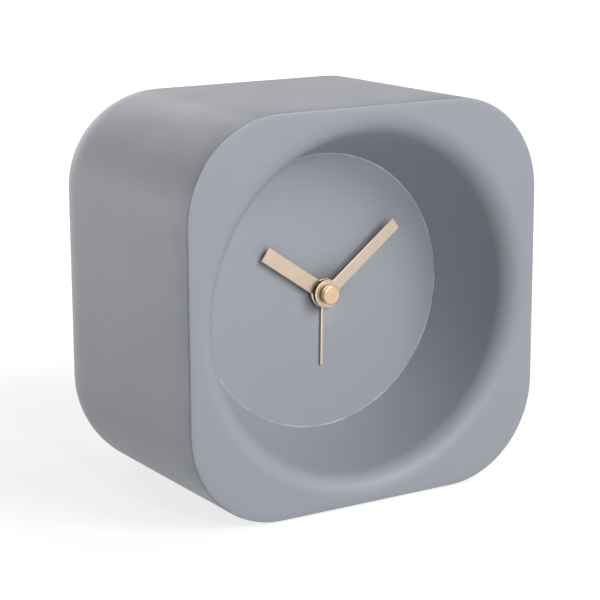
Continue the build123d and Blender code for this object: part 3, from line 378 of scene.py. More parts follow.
def lacquer(name, base, peel, relief, wear_and_highlight_tone, coat=0):
    """Sprayed satin lacquer with paler edges (rubbed wear on the case, a painted highlight on the
    dial) and painted shade along its seams.
    """
    mottle, breakup = 14, 160
    dark, light, seam_shade_tone = 0.975, 1.02, 0.35
    smoothest, roughest = 0.48, 0.53
    material, tree, shader, place = new_finish(name)
    skin = placed_group(tree, "skin", {"Vector": place, "Peel": peel, "Mottle": mottle})
    wear = {"Vector": place, "Wear": attribute(tree, "wear"), "Breakup": breakup}
    # Marked edges are painted paler: rubbed wear on the case, a painted highlight on the dial.
    rubbed = placed_group(tree, "rubbed", wear)["Mask"]
    plain = toned(tree, ranged(tree, skin["Tone"], 0, 1), base, dark, light)
    # Painted shade: the paint goes darker along the parting seam, as far as the mesh marks it,
    # broken up by the haze.
    seam_shade_mask = calculated(tree, "MULTIPLY", attribute(tree, "grime"), skin["Haze"])
    seam_shaded = mixed(tree, seam_shade_mask, plain, shaded(base, seam_shade_tone))
    fill_all(tree, shader, {
        "Base Color": mixed(tree, rubbed, seam_shaded, shaded(base, wear_and_highlight_tone)),
        "Roughness": ranged(tree, skin["Haze"], smoothest, roughest),
        "Normal": bumped(tree, skin["Height"], relief),
    })
    if coat:
        thick, thin, satin = 1.2 * coat, 0.8 * coat, 0.24
        weight = ranged(tree, skin["Haze"], thick, thin)
        fill_all(tree, shader, {"Coat Weight": weight, "Coat Roughness": satin})
    return material


def moulded(name, base, grain=2600, rough=0.5, relief=0.25, light=1.12):
    """Moulded plastic or rubber with an eroded grain."""
    dark = 0.9
    smoothest, roughest = rough - 0.05, rough + 0.08
    material, tree, shader, place = new_finish(name)
    surface = placed_group(tree, "grain", {"Vector": place, "Grain": grain})
    fill_all(tree, shader, {
        "Base Color": toned(tree, ranged(tree, surface["Tone"], 0, 1), base, dark, light),
        "Roughness": ranged(tree, surface["Tone"], smoothest, roughest),
        "Normal": bumped(tree, surface["Height"], relief),
    })
    return material


def brushed_metal(name, base, rough, relief, across, along, bevelled=False):
    """Metal with fine lines; a bevelled piece has a map along it and bevels painted twice as pale
    as a painted highlight.
    """
    dark, light, painted_bevel_highlight = 0.93, 1.05, 2
    faintest, strongest = 0.12, 0.4
    smoothest, roughest = rough - 0.05, rough + 0.07
    material, tree, shader, place = new_finish(name)
    if bevelled:
        place = node(tree, "ShaderNodeUVMap", uv_map="along").outputs["UV"]
    lines = placed_group(tree, "brushed", {"Vector": place, "Across": across, "Along": along})
    tone = ranged(tree, lines["Tone"], 0, 1, faintest, strongest)
    metal = toned(tree, tone, base, dark, light)
    if bevelled:
        # Painted highlight: marked bevels get a colour twice as pale as the metal.
        metal = mixed(tree, attribute(tree, "wear"), metal, shaded(base, painted_bevel_highlight))
    fill_all(tree, shader, {
        "Base Color": metal,
        "Metallic": 1,
        "Roughness": ranged(tree, lines["Height"], smoothest, roughest),
        "Normal": bumped(tree, lines["Height"], relief, distance=0.05 * MM),
    })
    return material


def wound_copper(name, base):
    """Many turns of enamelled wire side by side along X."""
    shaded_between_turns, on_turns = 0.6, 1.1
    smoothest, roughest = 0.25, 0.4
    material, tree, shader, place = new_finish(name)
    wave = {"Vector": place, "Scale": 900, "Distortion": 0.4, "Detail": 2}
    turns = node(tree, "ShaderNodeTexWave", wave).outputs["Fac"]
    fill_all(tree, shader, {
        # Painted shade: the copper is darker in the grooves between turns, where the bump sinks.
        "Base Color": toned(tree, turns, base, shaded_between_turns, on_turns),
        "Metallic": 1,
        "Roughness": ranged(tree, turns, smoothest, roughest, start=0, end=1),
        "Normal": bumped(tree, turns, strength=0.8, distance=0.08 * MM),
    })
    return material


def circuit_board(name, base):
    """Board with paler copper runs under its solder mask."""
    dark, light, copper = 0.85, 1.1, 2.1
    smoothest, roughest = 0.3, 0.42
    black, white = (0, 0, 0, 1), (1, 1, 1, 1)
    material, tree, shader, place = new_finish(name)
    bricks = {"Color1": black, "Color2": black, "Mortar": white, "Mortar Size": 0.03}
    bricks.update({"Vector": place, "Scale": 120})
    runs = node(tree, "ShaderNodeTexBrick", bricks).outputs["Color"]
    grain = placed_group(tree, "grain", {"Vector": place, "Grain": 1800})
    mask = toned(tree, ranged(tree, grain["Tone"], 0, 1), base, dark, light)
    fill_all(tree, shader, {
        "Base Color": mixed(tree, runs, mask, shaded(base, copper)),
        "Roughness": ranged(tree, grain["Tone"], smoothest, roughest),
        "Normal": bumped(tree, runs, strength=0.3, distance=0.05 * MM),
    })
    return material


def cell_wrap(name, sleeve, band, band_x):
    """Plain grey foil sleeve of the cell, with a paler band towards its positive end."""
    dark, light, blend = 0.85, 1.2, 0.4 * MM
    smoothest, roughest = 0.25, 0.36
    sleeve_metal, band_metal = 0.2, 0.75
    material, tree, shader, place = new_finish(name)
    along = node(tree, "ShaderNodeSeparateXYZ", {"Vector": place}).outputs["X"]
    banded = ranged(tree, along, 0, 1, band_x, band_x + blend)
    grain = placed_group(tree, "grain", {"Vector": place, "Grain": 900})
    foil = toned(tree, ranged(tree, grain["Tone"], 0, 1), sleeve, dark, light)
    fill_all(tree, shader, {
        "Base Color": mixed(tree, banded, foil, (*band, 1)),
        "Metallic": ranged(tree, banded, sleeve_metal, band_metal, start=0, end=1),
        "Roughness": ranged(tree, grain["Tone"], smoothest, roughest),
        "Normal": bumped(tree, grain["Height"], strength=0.08),
    })
    return material


def spot(x, depth, z):
    """Point beside the hand axis, at a depth behind the front plane."""
    return Vector((x, FRONT_Y + depth, AXIS_Z + z))


def on_axis(across, up, depth):
    """Point of a piece that is turned about the hand axis."""
    return spot(across, depth, up)


def rounded_ring(width, height, radius, depth):
    """Points of a rounded rectangle, clockwise from the top right corner as seen from the front."""
    reach_x = width / 2 - radius
    reach_z = height / 2 - radius
    centres = ((reach_x, reach_z), (reach_x, -reach_z), (-reach_x, -reach_z), (-reach_x, reach_z))
    ring = []
    for quarter, (centre_x, centre_z) in enumerate(centres):
        for step in range(CORNER_STEPS + 1):
            turn = (quarter + step / CORNER_STEPS) * pi / 2
            ring.append((centre_x + radius * sin(turn), centre_z + radius * cos(turn)))
        end_x, end_z = ring[-1]
        next_x, next_z = centres[(quarter + 1) % 4]
        for step in range(1, SIDE_STEPS):
            share = step / SIDE_STEPS
            ring.append((end_x + share * (next_x - centre_x), end_z + share * (next_z - centre_z)))
    return [spot(x, depth, z) for x, z in ring]


def case_ring(case, inset, depth):
    """Outline of the case, drawn in by the inset."""
    return rounded_ring(
        case.width - 2 * inset, case.height - 2 * inset, case.corner - inset, depth
    )


def even_turns(count):
    return [2 * pi * step / count for step in range(count)]


def turned(profile, turns, place):
    """Rings of a turned piece from radii and levels; a radius of nothing is a pole."""
    rings = []
    for radius, level in profile:
        around = turns if radius else (0,)
        rings.append([place(radius * sin(turn), radius * cos(turn), level) for turn in around])
    return rings


def quarter_round(radius, steps):
    """Inset and drop along a rounded edge, from its side to its face."""
    turns = [step / steps * pi / 2 for step in range(steps + 1)]
    return [(radius * (1 - cos(turn)), radius * (1 - sin(turn))) for turn in turns]


def between(first, second, share):
    return [a.lerp(b, share) for a, b in zip(first, second)]


class Shells:
    """Skins over rings of points, which become one mesh"""

    def __init__(self):
        # Each point carries a mark for rubbed edges and painted edge highlights, and its share of
        # painted shade by the parting seam.
        self.points, self.faces, self.wear, self.grime = [], [], [], []

    def skin(self, rings, worn=(), dirty=None, closed=True, flip=False):
        """Adds a skin over the rings in order; a ring of one point is a pole."""
        dirty = dirty or {}
        starts = []
        for index, ring in enumerate(rings):
            starts.append(len(self.points))
            self.points += ring[::-1] if flip else ring
            self.wear += [1.0 if index in worn else 0.0] * len(ring)
            self.grime += [dirty.get(index, 0.0)] * len(ring)
        last = len(rings) - 1
        pairs = [(near, near + 1) for near in range(last)]
        if closed:
            pairs.append((last, 0))
        for near, far in pairs:
            for step in range(max(len(rings[near]), len(rings[far]))):
                corners = []
                for ring, place in ((far, step), (far, step + 1), (near, step + 1), (near, step)):
                    corner = starts[ring] + place % len(rings[ring])
                    if corner not in corners:
                        corners.append(corner)
                self.faces.append(corners)

    def capped(self, rings, first, last):
        """Adds a skin that is closed by a point at each end."""
        self.skin([[first], *rings, [last]], closed=False)

    def mesh(self, name, sharp=60):
        """Smooth mesh of all the skins, sharp only where faces meet at more than that angle."""
        made = bpy.data.meshes.new(name)
        made.from_pydata(self.points, [], self.faces)
        made.attributes.new("wear", "FLOAT", "POINT").data.foreach_set("value", self.wear)
        made.attributes.new("grime", "FLOAT", "POINT").data.foreach_set("value", self.grime)
        made.shade_smooth()
        made.set_sharp_from_angle(angle=radians(sharp))
        return made


def skinned(name, rings, sharp=60, **settings):
    """Mesh of one skin."""
    shells = Shells()
    shells.skin(rings, **settings)
    return shells.mesh(name, sharp)


def placed(name, data):
    """Object in the scene for a mesh, text, lamp or camera."""
    made = bpy.data.objects.new(name, data)
    bpy.context.scene.collection.objects.link(made)
    return made


def add_piece(name, mesh, material, body, slot, *replaced):
    """Puts a finished mesh on its body, in the place of CAD nodes where it stands for some."""
    mesh.materials.clear()
    mesh.materials.append(material)
    piece = placed(name, mesh)
    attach(piece, body)
    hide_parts(*replaced)


def finish_nodes(material, *names):
    """Gives CAD nodes their finish."""
    for name in names:
        target = nodes[name]
        if not target.material_slots:
            target.data.materials.append(None)
        for place in target.material_slots:
            place.material = material


def plain_mesh(holder):
    """Mesh of an object as its modifiers leave it."""
    graph = bpy.context.evaluated_depsgraph_get()
    return bpy.data.meshes.new_from_object(holder.evaluated_get(graph))


def grown(name, tree, values):
    """Plain mesh that a geometry tree makes from the given inputs."""
    holder = placed(name, bpy.data.meshes.new(name))
    modifier = holder.modifiers.new(name, "NODES")
    modifier.node_group = tree
    for socket in tree.interface.items_tree:
        if socket.item_type == "SOCKET" and socket.in_out == "INPUT":
            modifier[socket.identifier] = values[socket.name]
    holder.update_tag()
    mesh = plain_mesh(holder)
    bpy.data.objects.remove(holder)
    if not mesh.polygons:
        raise RuntimeError(f"{name} came out empty")
    return mesh


def moved(tree, geometry, centre, rotation=(0, 0, 0)):
    place = {"Geometry": geometry, "Translation": centre, "Rotation": rotation}
    return node(tree, "GeometryNodeTransform", place).outputs[0]


def ended(tree, out, geometry, material):
    """Realizes instances, sets the material and joins the tree to its output."""
    real = node(tree, "GeometryNodeRealizeInstances", {"Geometry": geometry}).outputs[0]
    painted = node(tree, "GeometryNodeSetMaterial", {"Geometry": real, "Material": material})
    fill(tree, out["Geometry"], painted.outputs[0])


class Funnel:
    """Radius and depth along the dial funnel: the soft lip, then a wall that flares to the dial"""

    lip_steps = 24
    wall_steps = 12

    def __init__(self, case):
        lip_start = min(case.width, case.height) / 2 - case.lip_margin
        lip_sweep = pi / 2 - case.steep
        turns = [step / self.lip_steps * lip_sweep for step in range(self.lip_steps + 1)]
        self.lip = [
            (lip_start - case.lip_round * sin(turn), case.lip_round * (1 - cos(turn)))
            for turn in turns
        ]
        lip_radius, lip_depth = self.lip[-1]
        self.floor_front = dial_high.y - FRONT_Y
        fall = lip_radius - case.floor_radius
        reach = self.floor_front - lip_depth
        sweep = 2 * (atan2(fall, reach) - case.steep)
        bend = sqrt(fall * fall + reach * reach) / (2 * sin(sweep / 2))
        self.wall = []
        for step in range(1, self.wall_steps + 1):
            slope = case.steep + sweep * step / self.wall_steps
            radius = lip_radius - bend * (cos(case.steep) - cos(slope))
            self.wall.append((radius, lip_depth + bend * (sin(slope) - sin(case.steep))))
        self.flare = tan(case.steep + sweep)


def crowned(case, ring):
    """Ring on the face, let down towards the outer edge."""
    lowered = []
    for point in ring:
        away_x = abs(point.x) - case.width / 2 + case.corner
        away_z = abs(point.z - AXIS_Z) - case.height / 2 + case.corner
        outside = Vector((max(away_x, 0), max(away_z, 0))).length + min(max(away_x, away_z), 0)
        share = max(0, 1 - (case.corner - outside) / case.crown_width)
        lowered.append(point + Vector((0, case.crown * share * share, 0)))
    return lowered


class CLOCK_OT_front(bpy.types.Operator):
    """Front face, soft lip and dial funnel as one lacquered moulding"""

    bl_idname = "clock.front"
    bl_label = "Front"

    def execute(self, context):
        case = context.scene.clock_case
        funnel = Funnel(case)
        turns = [atan2(point.x, point.z - AXIS_Z) for point in case_ring(case, 0, 0)]
        edge = [
            case_ring(case, inset, drop) for inset, drop in quarter_round(case.edge_round, steps=8)
        ]
        lip = turned(funnel.lip, turns, on_axis)
        shares = (0.02, 0.06, 0.12, 0.2, 0.3, 0.45, 0.6, 0.8, 0.97)
        face = edge + [between(edge[-1], lip[0], share) for share in shares] + lip
        skirt_inner = case.skirt_inset + case.skirt_wall
        skirt_end = case.rim + case.skirt
        rings = [
            case_ring(case, skirt_inner, case.rim),
            case_ring(case, skirt_inner, skirt_end),
            case_ring(case, case.skirt_inset, skirt_end),
            case_ring(case, case.skirt_inset, case.rim),
        ]
        # Painted shade on the rings beside the parting seam, on the front's side of it.
        dirty = dict(enumerate((0.75, 0.75, 0.4), start=len(rings)))
        rings += [
            case_ring(case, case.chamfer, case.rim),
            case_ring(case, 0, case.rim - case.chamfer),
        ]
        worn = range(len(rings), len(rings) + len(edge))
        rings += [crowned(case, ring) for ring in face]
        floor_rear = funnel.floor_front + case.floor
        inside = [
            (case.floor_hole, funnel.floor_front),
            (case.floor_hole, floor_rear),
            (case.floor_radius + case.funnel_wall, floor_rear),
            (funnel.lip[0][0] - case.funnel_wall, case.rim),
        ]
        rings += turned(funnel.wall + inside, turns, on_axis)
        mesh = skinned("front_moulding", rings, worn=worn, dirty=dirty)
        paint = lacquer(
            "case_lacquer", case.paint, peel=1500, relief=0.05, wear_and_highlight_tone=1.16, coat=0.1
        )
        add_piece("front_moulding", mesh, paint, "case", "case_grey", "front_bezel", "dial_funnel")
        return {"FINISHED"}


class CLOCK_OT_body(bpy.types.Operator):
    """Lacquered body with its soft back and the well for the controls"""

    bl_idname = "clock.body"
    bl_label = "Body"

    def execute(self, context):
        case = context.scene.clock_case
        start = case.rim + case.parting
        bend = case.depth - case.rear_round
        ledge = case.depth - case.well_depth
        ledge_end = ledge - case.ledge_depth

        def well(grow, depth):
            width, height = case.well_width + 2 * grow, case.well_height + 2 * grow
            return rounded_ring(width, height, case.well_corner + grow, depth)

        near_seam = (case.chamfer, 3 * case.chamfer, 2 * MM, 5 * MM, 9 * MM, 14 * MM)
        # Painted shade on the body's rings beside the parting seam, fading out over the first 14
        # mm.
        dirty = dict(enumerate((0.75, 0.75, 0.7, 0.5, 0.3, 0.12)))
        along = (0.25, 0.5, 0.75, 0.99)
        rings = [case_ring(case, case.chamfer, start)]
        rings += [case_ring(case, 0, start + step) for step in near_seam]
        rings += [case_ring(case, 0, start + (bend - start) * share) for share in along]
        rings += [
            case_ring(case, inset, case.depth - drop)
            for inset, drop in quarter_round(case.rear_round, steps=28)
        ]
        rear_edge, well_edge = rings[-1], well(case.well_edge, case.depth)
        rings += [between(rear_edge, well_edge, share) for share in (0.04, 0.5, 0.96)]
        edge = [
            well(drop, case.depth - inset)
            for inset, drop in quarter_round(case.well_edge, steps=5)
        ]
        worn = range(len(rings), len(rings) + len(edge))
        rings += edge
        rings += [
            well(0, case.depth - 2 * case.well_edge),
            well(0, ledge),
            well(-case.ledge, ledge),
            well(-case.ledge, ledge_end),
            well(case.well_wall, ledge_end),
            well(case.well_wall, case.depth - case.wall),
        ]
        rings += [
            case_ring(case, case.wall + inset, case.depth - case.wall - drop)
            for inset, drop in reversed(quarter_round(case.rear_round - case.wall, steps=14))
        ]
        rings.append(case_ring(case, case.wall, start))
        mesh = skinned("body_shell", rings, worn=worn, dirty=dirty, flip=True)
        paint = bpy.data.materials["case_lacquer"]
        add_piece("body_shell", mesh, paint, "case", "case_grey", "case_body")
        return {"FINISHED"}


class CLOCK_OT_dial(bpy.types.Operator):
    """Plain matt dial with a softened edge, painted pale all round its rim as a highlight line"""

    bl_idname = "clock.dial"
    bl_label = "Dial"

    def execute(self, context):
        case = context.scene.clock_case
        flare = Funnel(case).flare
        front, rear = dial_low.y - FRONT_Y, dial_high.y - FRONT_Y
        rear_radius = case.floor_radius - case.dial_gap
        radius = rear_radius + (rear - front) * flare
        edge, drop, hole_edge = 0.4 * MM, 0.1 * MM, 0.1 * MM
        edge_end = 1.1 * edge
        profile = [
            (case.floor_hole, rear),
            (rear_radius, rear),
            (radius - drop * flare, front + drop),
            (radius - edge, front),
            (radius - edge_end, front),
            *((radius * share, front) for share in (0.6, 0.3)),
            (case.floor_hole + hole_edge, front),
            (case.floor_hole, front + hole_edge),
        ]
        # The rim's rings are marked, and the dial lacquer paints them 1.9 times paler: a painted
        # highlight line.
        mesh = skinned("dial_face", turned(profile, even_turns(192), on_axis), worn=(2, 3))
        paint = lacquer("dial_matt", case.dial_paint, peel=4200, relief=0.08, wear_and_highlight_tone=1.9)
        add_piece("dial_face", mesh, paint, "case", "dial_grey", "dial_plate")
        return {"FINISHED"}


class CLOCK_OT_hands(bpy.types.Operator):
    """Satin baton hands for minutes, hours and the alarm, each with a bevel painted bright as a
    highlight
    """

    bl_idname = "clock.hands"
    bl_label = "Hands"

    bores = {"minute": 1.62 * MM, "hour": 2.52 * MM, "alarm": 3.32 * MM}
    sheets = {"minute": 0.4 * MM, "hour": 0.4 * MM, "alarm": 0.3 * MM}

    def execute(self, context):
        hands = context.scene.clock_hands
        satin = brushed_metal(
            "hand_satin", hands.champagne, rough=0.36, relief=0.1, across=12000, along=260,
            bevelled=True,
        )
        for name in self.bores:
            mesh = self.baton(name, hands)
            add_piece(f"{name}_baton", mesh, satin, name, "hand_champagne", f"{name}_hand")
        return {"FINISHED"}

    def outline(self, reach, width, boss):
        """Outline of a baton with a round boss, as places across and along the hand."""
        side_steps, end_steps, boss_steps = 10, 6, 72
        half = width / 2
        start = sqrt(boss * boss - half * half)
        points = [
            (half, start + (reach - start) * step / side_steps) for step in range(side_steps)
        ]
        points += [(half - width * step / end_steps, reach) for step in range(end_steps + 1)]
        points += [
            (-half, reach + (start - reach) * step / side_steps)
            for step in range(1, side_steps + 1)
        ]
        first = atan2(-half, start)
        sweep = 2 * pi - 2 * abs(first)
        for step in range(1, boss_steps):
            turn = first - sweep * step / boss_steps
            points.append((boss * sin(turn), boss * cos(turn)))
        return points

    def baton(self, name, hands):
        """Mesh of one hand, with a map that runs along it for the brushed lines."""
        reach, width, boss, turn = (
            getattr(hands, f"{name}_{key}") for key in ("length", "width", "boss", "angle")
        )
        low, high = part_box(f"{name}_hand")
        hole, sheet = self.bores[name], self.sheets[name]
        front = low.y - FRONT_Y
        rear = front + sheet
        across = Vector((cos(turn), 0, -sin(turn)))
        along = Vector((sin(turn), 0, cos(turn)))
        deepest, hairline, collar_wall = 0.7 * sheet, 0.02 * MM, 0.8 * MM
        bevel = min(hands.bevel, deepest)
        flat, inner, face = (
            self.outline(reach - inset, width - 2 * inset, boss - inset)
            for inset in (0, bevel, bevel + hairline)
        )
        bore = [(hole * sin(way), hole * cos(way)) for way in (atan2(u, v) for u, v in flat)]

        def ring(places, depth):
            return [spot(0, depth, 0) + across * u + along * v for u, v in places]

        rings = [ring(bore, rear), ring(flat, rear), ring(flat, front + bevel)]
        rings += [ring(inner, front), ring(face, front), ring(bore, front)]
        shells = Shells()
        # The bevel's rings are marked for the painted highlight of the hand finish.
        shells.skin(rings, worn=(2, 3), flip=True)
        collar, collar_end = hole + collar_wall, high.y - FRONT_Y
        if collar_end > rear + bevel:
            profile = [(hole, collar_end), (collar, collar_end), (collar, rear), (hole, rear)]
            shells.skin(turned(profile, even_turns(64), on_axis))
        mesh = shells.mesh(f"{name}_baton", sharp=25)
        layer = mesh.uv_layers.new(name="along")
        origin = spot(0, 0, 0)
        for loop in mesh.loops:
            away = mesh.vertices[loop.vertex_index].co - origin
            layer.data[loop.index].uv = (away.dot(across), away.dot(along))
        return mesh


class CLOCK_OT_cap(bpy.types.Operator):
    """Polished cap over the middle of the hands"""

    bl_idname = "clock.cap"
    bl_label = "Cap"

    def execute(self, context):
        hands = context.scene.clock_hands
        low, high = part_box("hand_cap")
        front, rear = low.y - FRONT_Y, high.y - FRONT_Y
        radius = (high.x - low.x) / 2
        edge, foot, bore = hands.cap_round, 0.12 * MM, 0.62 * MM
        bore_end = front + edge + foot
        profile = [
            (0, bore_end),
            (bore, bore_end),
            (bore, rear),
            (radius - foot, rear),
            (radius, rear - foot),
            (radius, bore_end),
        ]
        profile += [(radius - inset, front + drop) for inset, drop in quarter_round(edge, steps=8)]
        profile += [(radius - edge - foot, front), (radius / 2, front), (0, front)]
        mesh = skinned("centre_cap", turned(profile, even_turns(96), on_axis), closed=False)
        gold = brushed_metal(
            "cap_gold", hands.gold, rough=0.17, relief=0.04, across=6000, along=6000
        )
        add_piece("centre_cap", mesh, gold, "seconds", "hand_champagne", "hand_cap")
        return {"FINISHED"}


def spread_tree():
    """Geometry tree that sets a template on the four corners of a rectangle."""
    tree, given, out = shape_tree("Four corners", {
        "Template": OBJECT,
        "Span X": FLOAT,
        "Span Y": FLOAT,
        "Tilt": VECTOR,
        "Centre": VECTOR,
        "Spin": VECTOR,
    })
    sides = {"Size X": given["Span X"], "Size Y": given["Span Y"], "Vertices X": 2, "Vertices Y": 2}
    grid = node(tree, "GeometryNodeMeshGrid", sides).outputs["Mesh"]
    template = node(tree, "GeometryNodeObjectInfo", {"Object": given["Template"]})
    most = {1: given["Spin"], "Seed": 5}
    spin = node(tree, "FunctionNodeRandomValue", most, data_type="FLOAT_VECTOR")
    spread = node(tree, "GeometryNodeInstanceOnPoints", {
        "Points": moved(tree, grid, given["Centre"], given["Tilt"]),
        "Instance": template.outputs["Geometry"],
        "Rotation": spin.outputs[0],
    })
    ended(tree, out, spread.outputs[0], given["Material"])
    return tree


class CLOCK_OT_screws(bpy.types.Operator):
    """Four cross-recess screws that hold the rear cover"""

    bl_idname = "clock.screws"
    bl_label = "Screws"

    def execute(self, context):
        back = context.scene.clock_back
        low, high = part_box("rear_cover_screws")
        seat = high.y - back.head_height
        head = self.screw(back, low.y - seat)
        zinc = brushed_metal(
            "screw_zinc", (0.42, 0.42, 0.43), rough=0.34, relief=0.15, across=4000, along=4000
        )
        mesh = grown("cover_screws", spread_tree(), {
            "Template": head,
            "Span X": high.x - low.x - 2 * back.head,
            "Span Y": high.z - low.z - 2 * back.head,
            "Tilt": (pi / 2, 0, 0),
            "Centre": (0, seat, (low.z + high.z) / 2),
            "Spin": (0, pi / 2, 0),
            "Material": zinc,
        })
        bpy.data.objects.remove(head)
        mesh.set_sharp_from_angle(angle=radians(40))
        add_piece("cover_screws", mesh, zinc, "case", "screw_steel", "rear_cover_screws")
        finish_nodes(zinc, "bezel_screws", "movement_screws", "bridge_screws")
        return {"FINISHED"}

    def screw(self, back, shank_end):
        """One screw along Y with its seat at the origin."""
        top = back.head_height
        edge, under_edge, shank = 0.5 * MM, 0.05 * MM, 1.2 * MM
        profile = [
            (0, shank_end),
            (shank, shank_end),
            (shank, 0),
            (back.head - under_edge, 0),
            (back.head, under_edge),
        ]
        profile += [
            (back.head - inset, top - drop) for inset, drop in quarter_round(edge, steps=7)
        ]
        profile.append((0, top))
        rings = turned(profile, even_turns(48), lambda x, z, y: Vector((x, y, z)))
        head = placed("screw_head", skinned("screw_head", rings, sharp=40, closed=False, flip=True))
        cross = self.cross(back)
        cut = head.modifiers.new("recess", "BOOLEAN")
        cut.object = cross
        cut.solver = "EXACT"
        cut.use_self = True
        head.data = plain_mesh(head)
        head.modifiers.clear()
        bpy.data.objects.remove(cross)
        return head

    def cross(self, back):
        """Two crossed wedges that cut the recess."""
        deep, over, taper = 0.8 * MM, 0.2 * MM, 0.7
        floor_y, top_y = back.head_height - deep, back.head_height + over
        shells = Shells()
        for span_x, span_z in ((back.recess, back.recess_width), (back.recess_width, back.recess)):
            half_x, half_z = span_x / 2, span_z / 2
            corners = ((-half_x, half_z), (-half_x, -half_z), (half_x, -half_z), (half_x, half_z))
            floor = [Vector((x * taper, floor_y, z * taper)) for x, z in corners]
            top = [Vector((x, top_y, z)) for x, z in corners]
            shells.capped([floor, top], Vector((0, floor_y, 0)), Vector((0, top_y, 0)))
        return placed("cross_recess", shells.mesh("cross_recess"))


class CLOCK_OT_pads(bpy.types.Operator):
    """Four ringed rubber pads under the body"""

    bl_idname = "clock.pads"
    bl_label = "Pads"

    def execute(self, context):
        back = context.scene.clock_back
        low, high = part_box("base_pads")
        height = high.z - low.z
        radius, edge = 5.98 * MM, 0.25 * MM
        groove_depth, groove_floor, groove_top = 0.2 * MM, 0.1 * MM, 0.3 * MM
        profile = [(0, height), (radius, height)]
        profile += [(radius - inset, drop) for inset, drop in quarter_round(edge, steps=3)]
        for groove in (4.6 * MM, 3.2 * MM, 1.8 * MM):
            profile += [(groove + groove_top, 0), (groove + groove_floor, groove_depth)]
            profile += [(groove - groove_floor, groove_depth), (groove - groove_top, 0)]
        profile.append((0, 0))
        rings = turned(profile, even_turns(64), lambda x, y, z: Vector((x, y, z)))
        pad = placed("pad", skinned("pad", rings, sharp=35, closed=False, flip=True))
        rubber = moulded("pad_rubber", back.rubber, grain=3200, rough=0.75, relief=0.4)
        mesh = grown("base_feet", spread_tree(), {
            "Template": pad,
            "Span X": high.x - low.x - 2 * radius,
            "Span Y": high.y - low.y - 2 * radius,
            "Tilt": (0, 0, 0),
            "Centre": ((low.x + high.x) / 2, (low.y + high.y) / 2, low.z),
            "Spin": (0, 0, 0),
            "Material": rubber,
        })
        bpy.data.objects.remove(pad)
        add_piece("base_feet", mesh, rubber, "case", "pad_black", "base_pads")
        return {"FINISHED"}


def profile_curve(tree, step, levels):
    """Value that runs through the levels in straight lines as the step goes from 0 to 1."""
    curve = node(tree, "ShaderNodeFloatCurve", {"Value": step})
    line = curve.mapping.curves[0]
    last = len(levels) - 1
    line.points[0].location = (0, levels[0])
    line.points[1].location = (1, levels[last])
    for index in range(1, last):
        line.points.new(index / last, levels[index])
    for point in line.points:
        point.handle_type = "VECTOR"
    curve.mapping.update()
    return curve.outputs[0]


def knob_tree(profile):
    """Geometry tree of a fluted knob: a strip of rings, bent round and pulled in at the flutes."""
    columns_per_flute, sharpness, weld = 14, 1.6, 0.001 * MM
    half = 0.5
    tree, given, out = shape_tree("Fluted knob", {
        "Radius": FLOAT,
        "Height": FLOAT,
        "Flutes": INTEGER,
        "Flute Depth": FLOAT,
        "Centre": VECTOR,
    })

    def product(first, second):
        return calculated(tree, "MULTIPLY", first, second)

    columns = calculated(tree, "MULTIPLY_ADD", given["Flutes"], columns_per_flute, 1)
    counts = {"Size X": 1, "Size Y": 1, "Vertices X": columns, "Vertices Y": len(profile)}
    strip = node(tree, "GeometryNodeMeshGrid", counts).outputs["Mesh"]
    position = node(tree, "GeometryNodeInputPosition").outputs[0]
    place = node(tree, "ShaderNodeSeparateXYZ", {"Vector": position}).outputs
    turn = product(calculated(tree, "ADD", place["X"], half), 2 * pi)
    step = calculated(tree, "ADD", place["Y"], half)
    radii, heights, flutes = (profile_curve(tree, step, levels) for levels in zip(*profile))
    wave = calculated(tree, "COSINE", product(turn, given["Flutes"]))
    lifted = product(calculated(tree, "ADD", wave, 1), half)
    scallop = calculated(tree, "POWER", lifted, sharpness)
    pull = product(product(scallop, given["Flute Depth"]), flutes)
    radius = calculated(tree, "SUBTRACT", product(radii, given["Radius"]), pull)
    bent = node(tree, "ShaderNodeCombineXYZ", {
        "X": product(radius, calculated(tree, "SINE", turn)),
        "Y": product(heights, given["Height"]),
        "Z": product(radius, calculated(tree, "COSINE", turn)),
    }).outputs[0]
    skin = node(tree, "GeometryNodeSetPosition", {"Geometry": strip, "Position": bent}).outputs[0]
    seam = {"Geometry": skin, "Distance": weld}
    sewn = node(tree, "GeometryNodeMergeByDistance", seam).outputs[0]
    smooth = node(tree, "GeometryNodeSetShadeSmooth", {"Geometry": sewn}).outputs[0]
    ended(tree, out, moved(tree, smooth, given["Centre"]), given["Material"])
    return tree


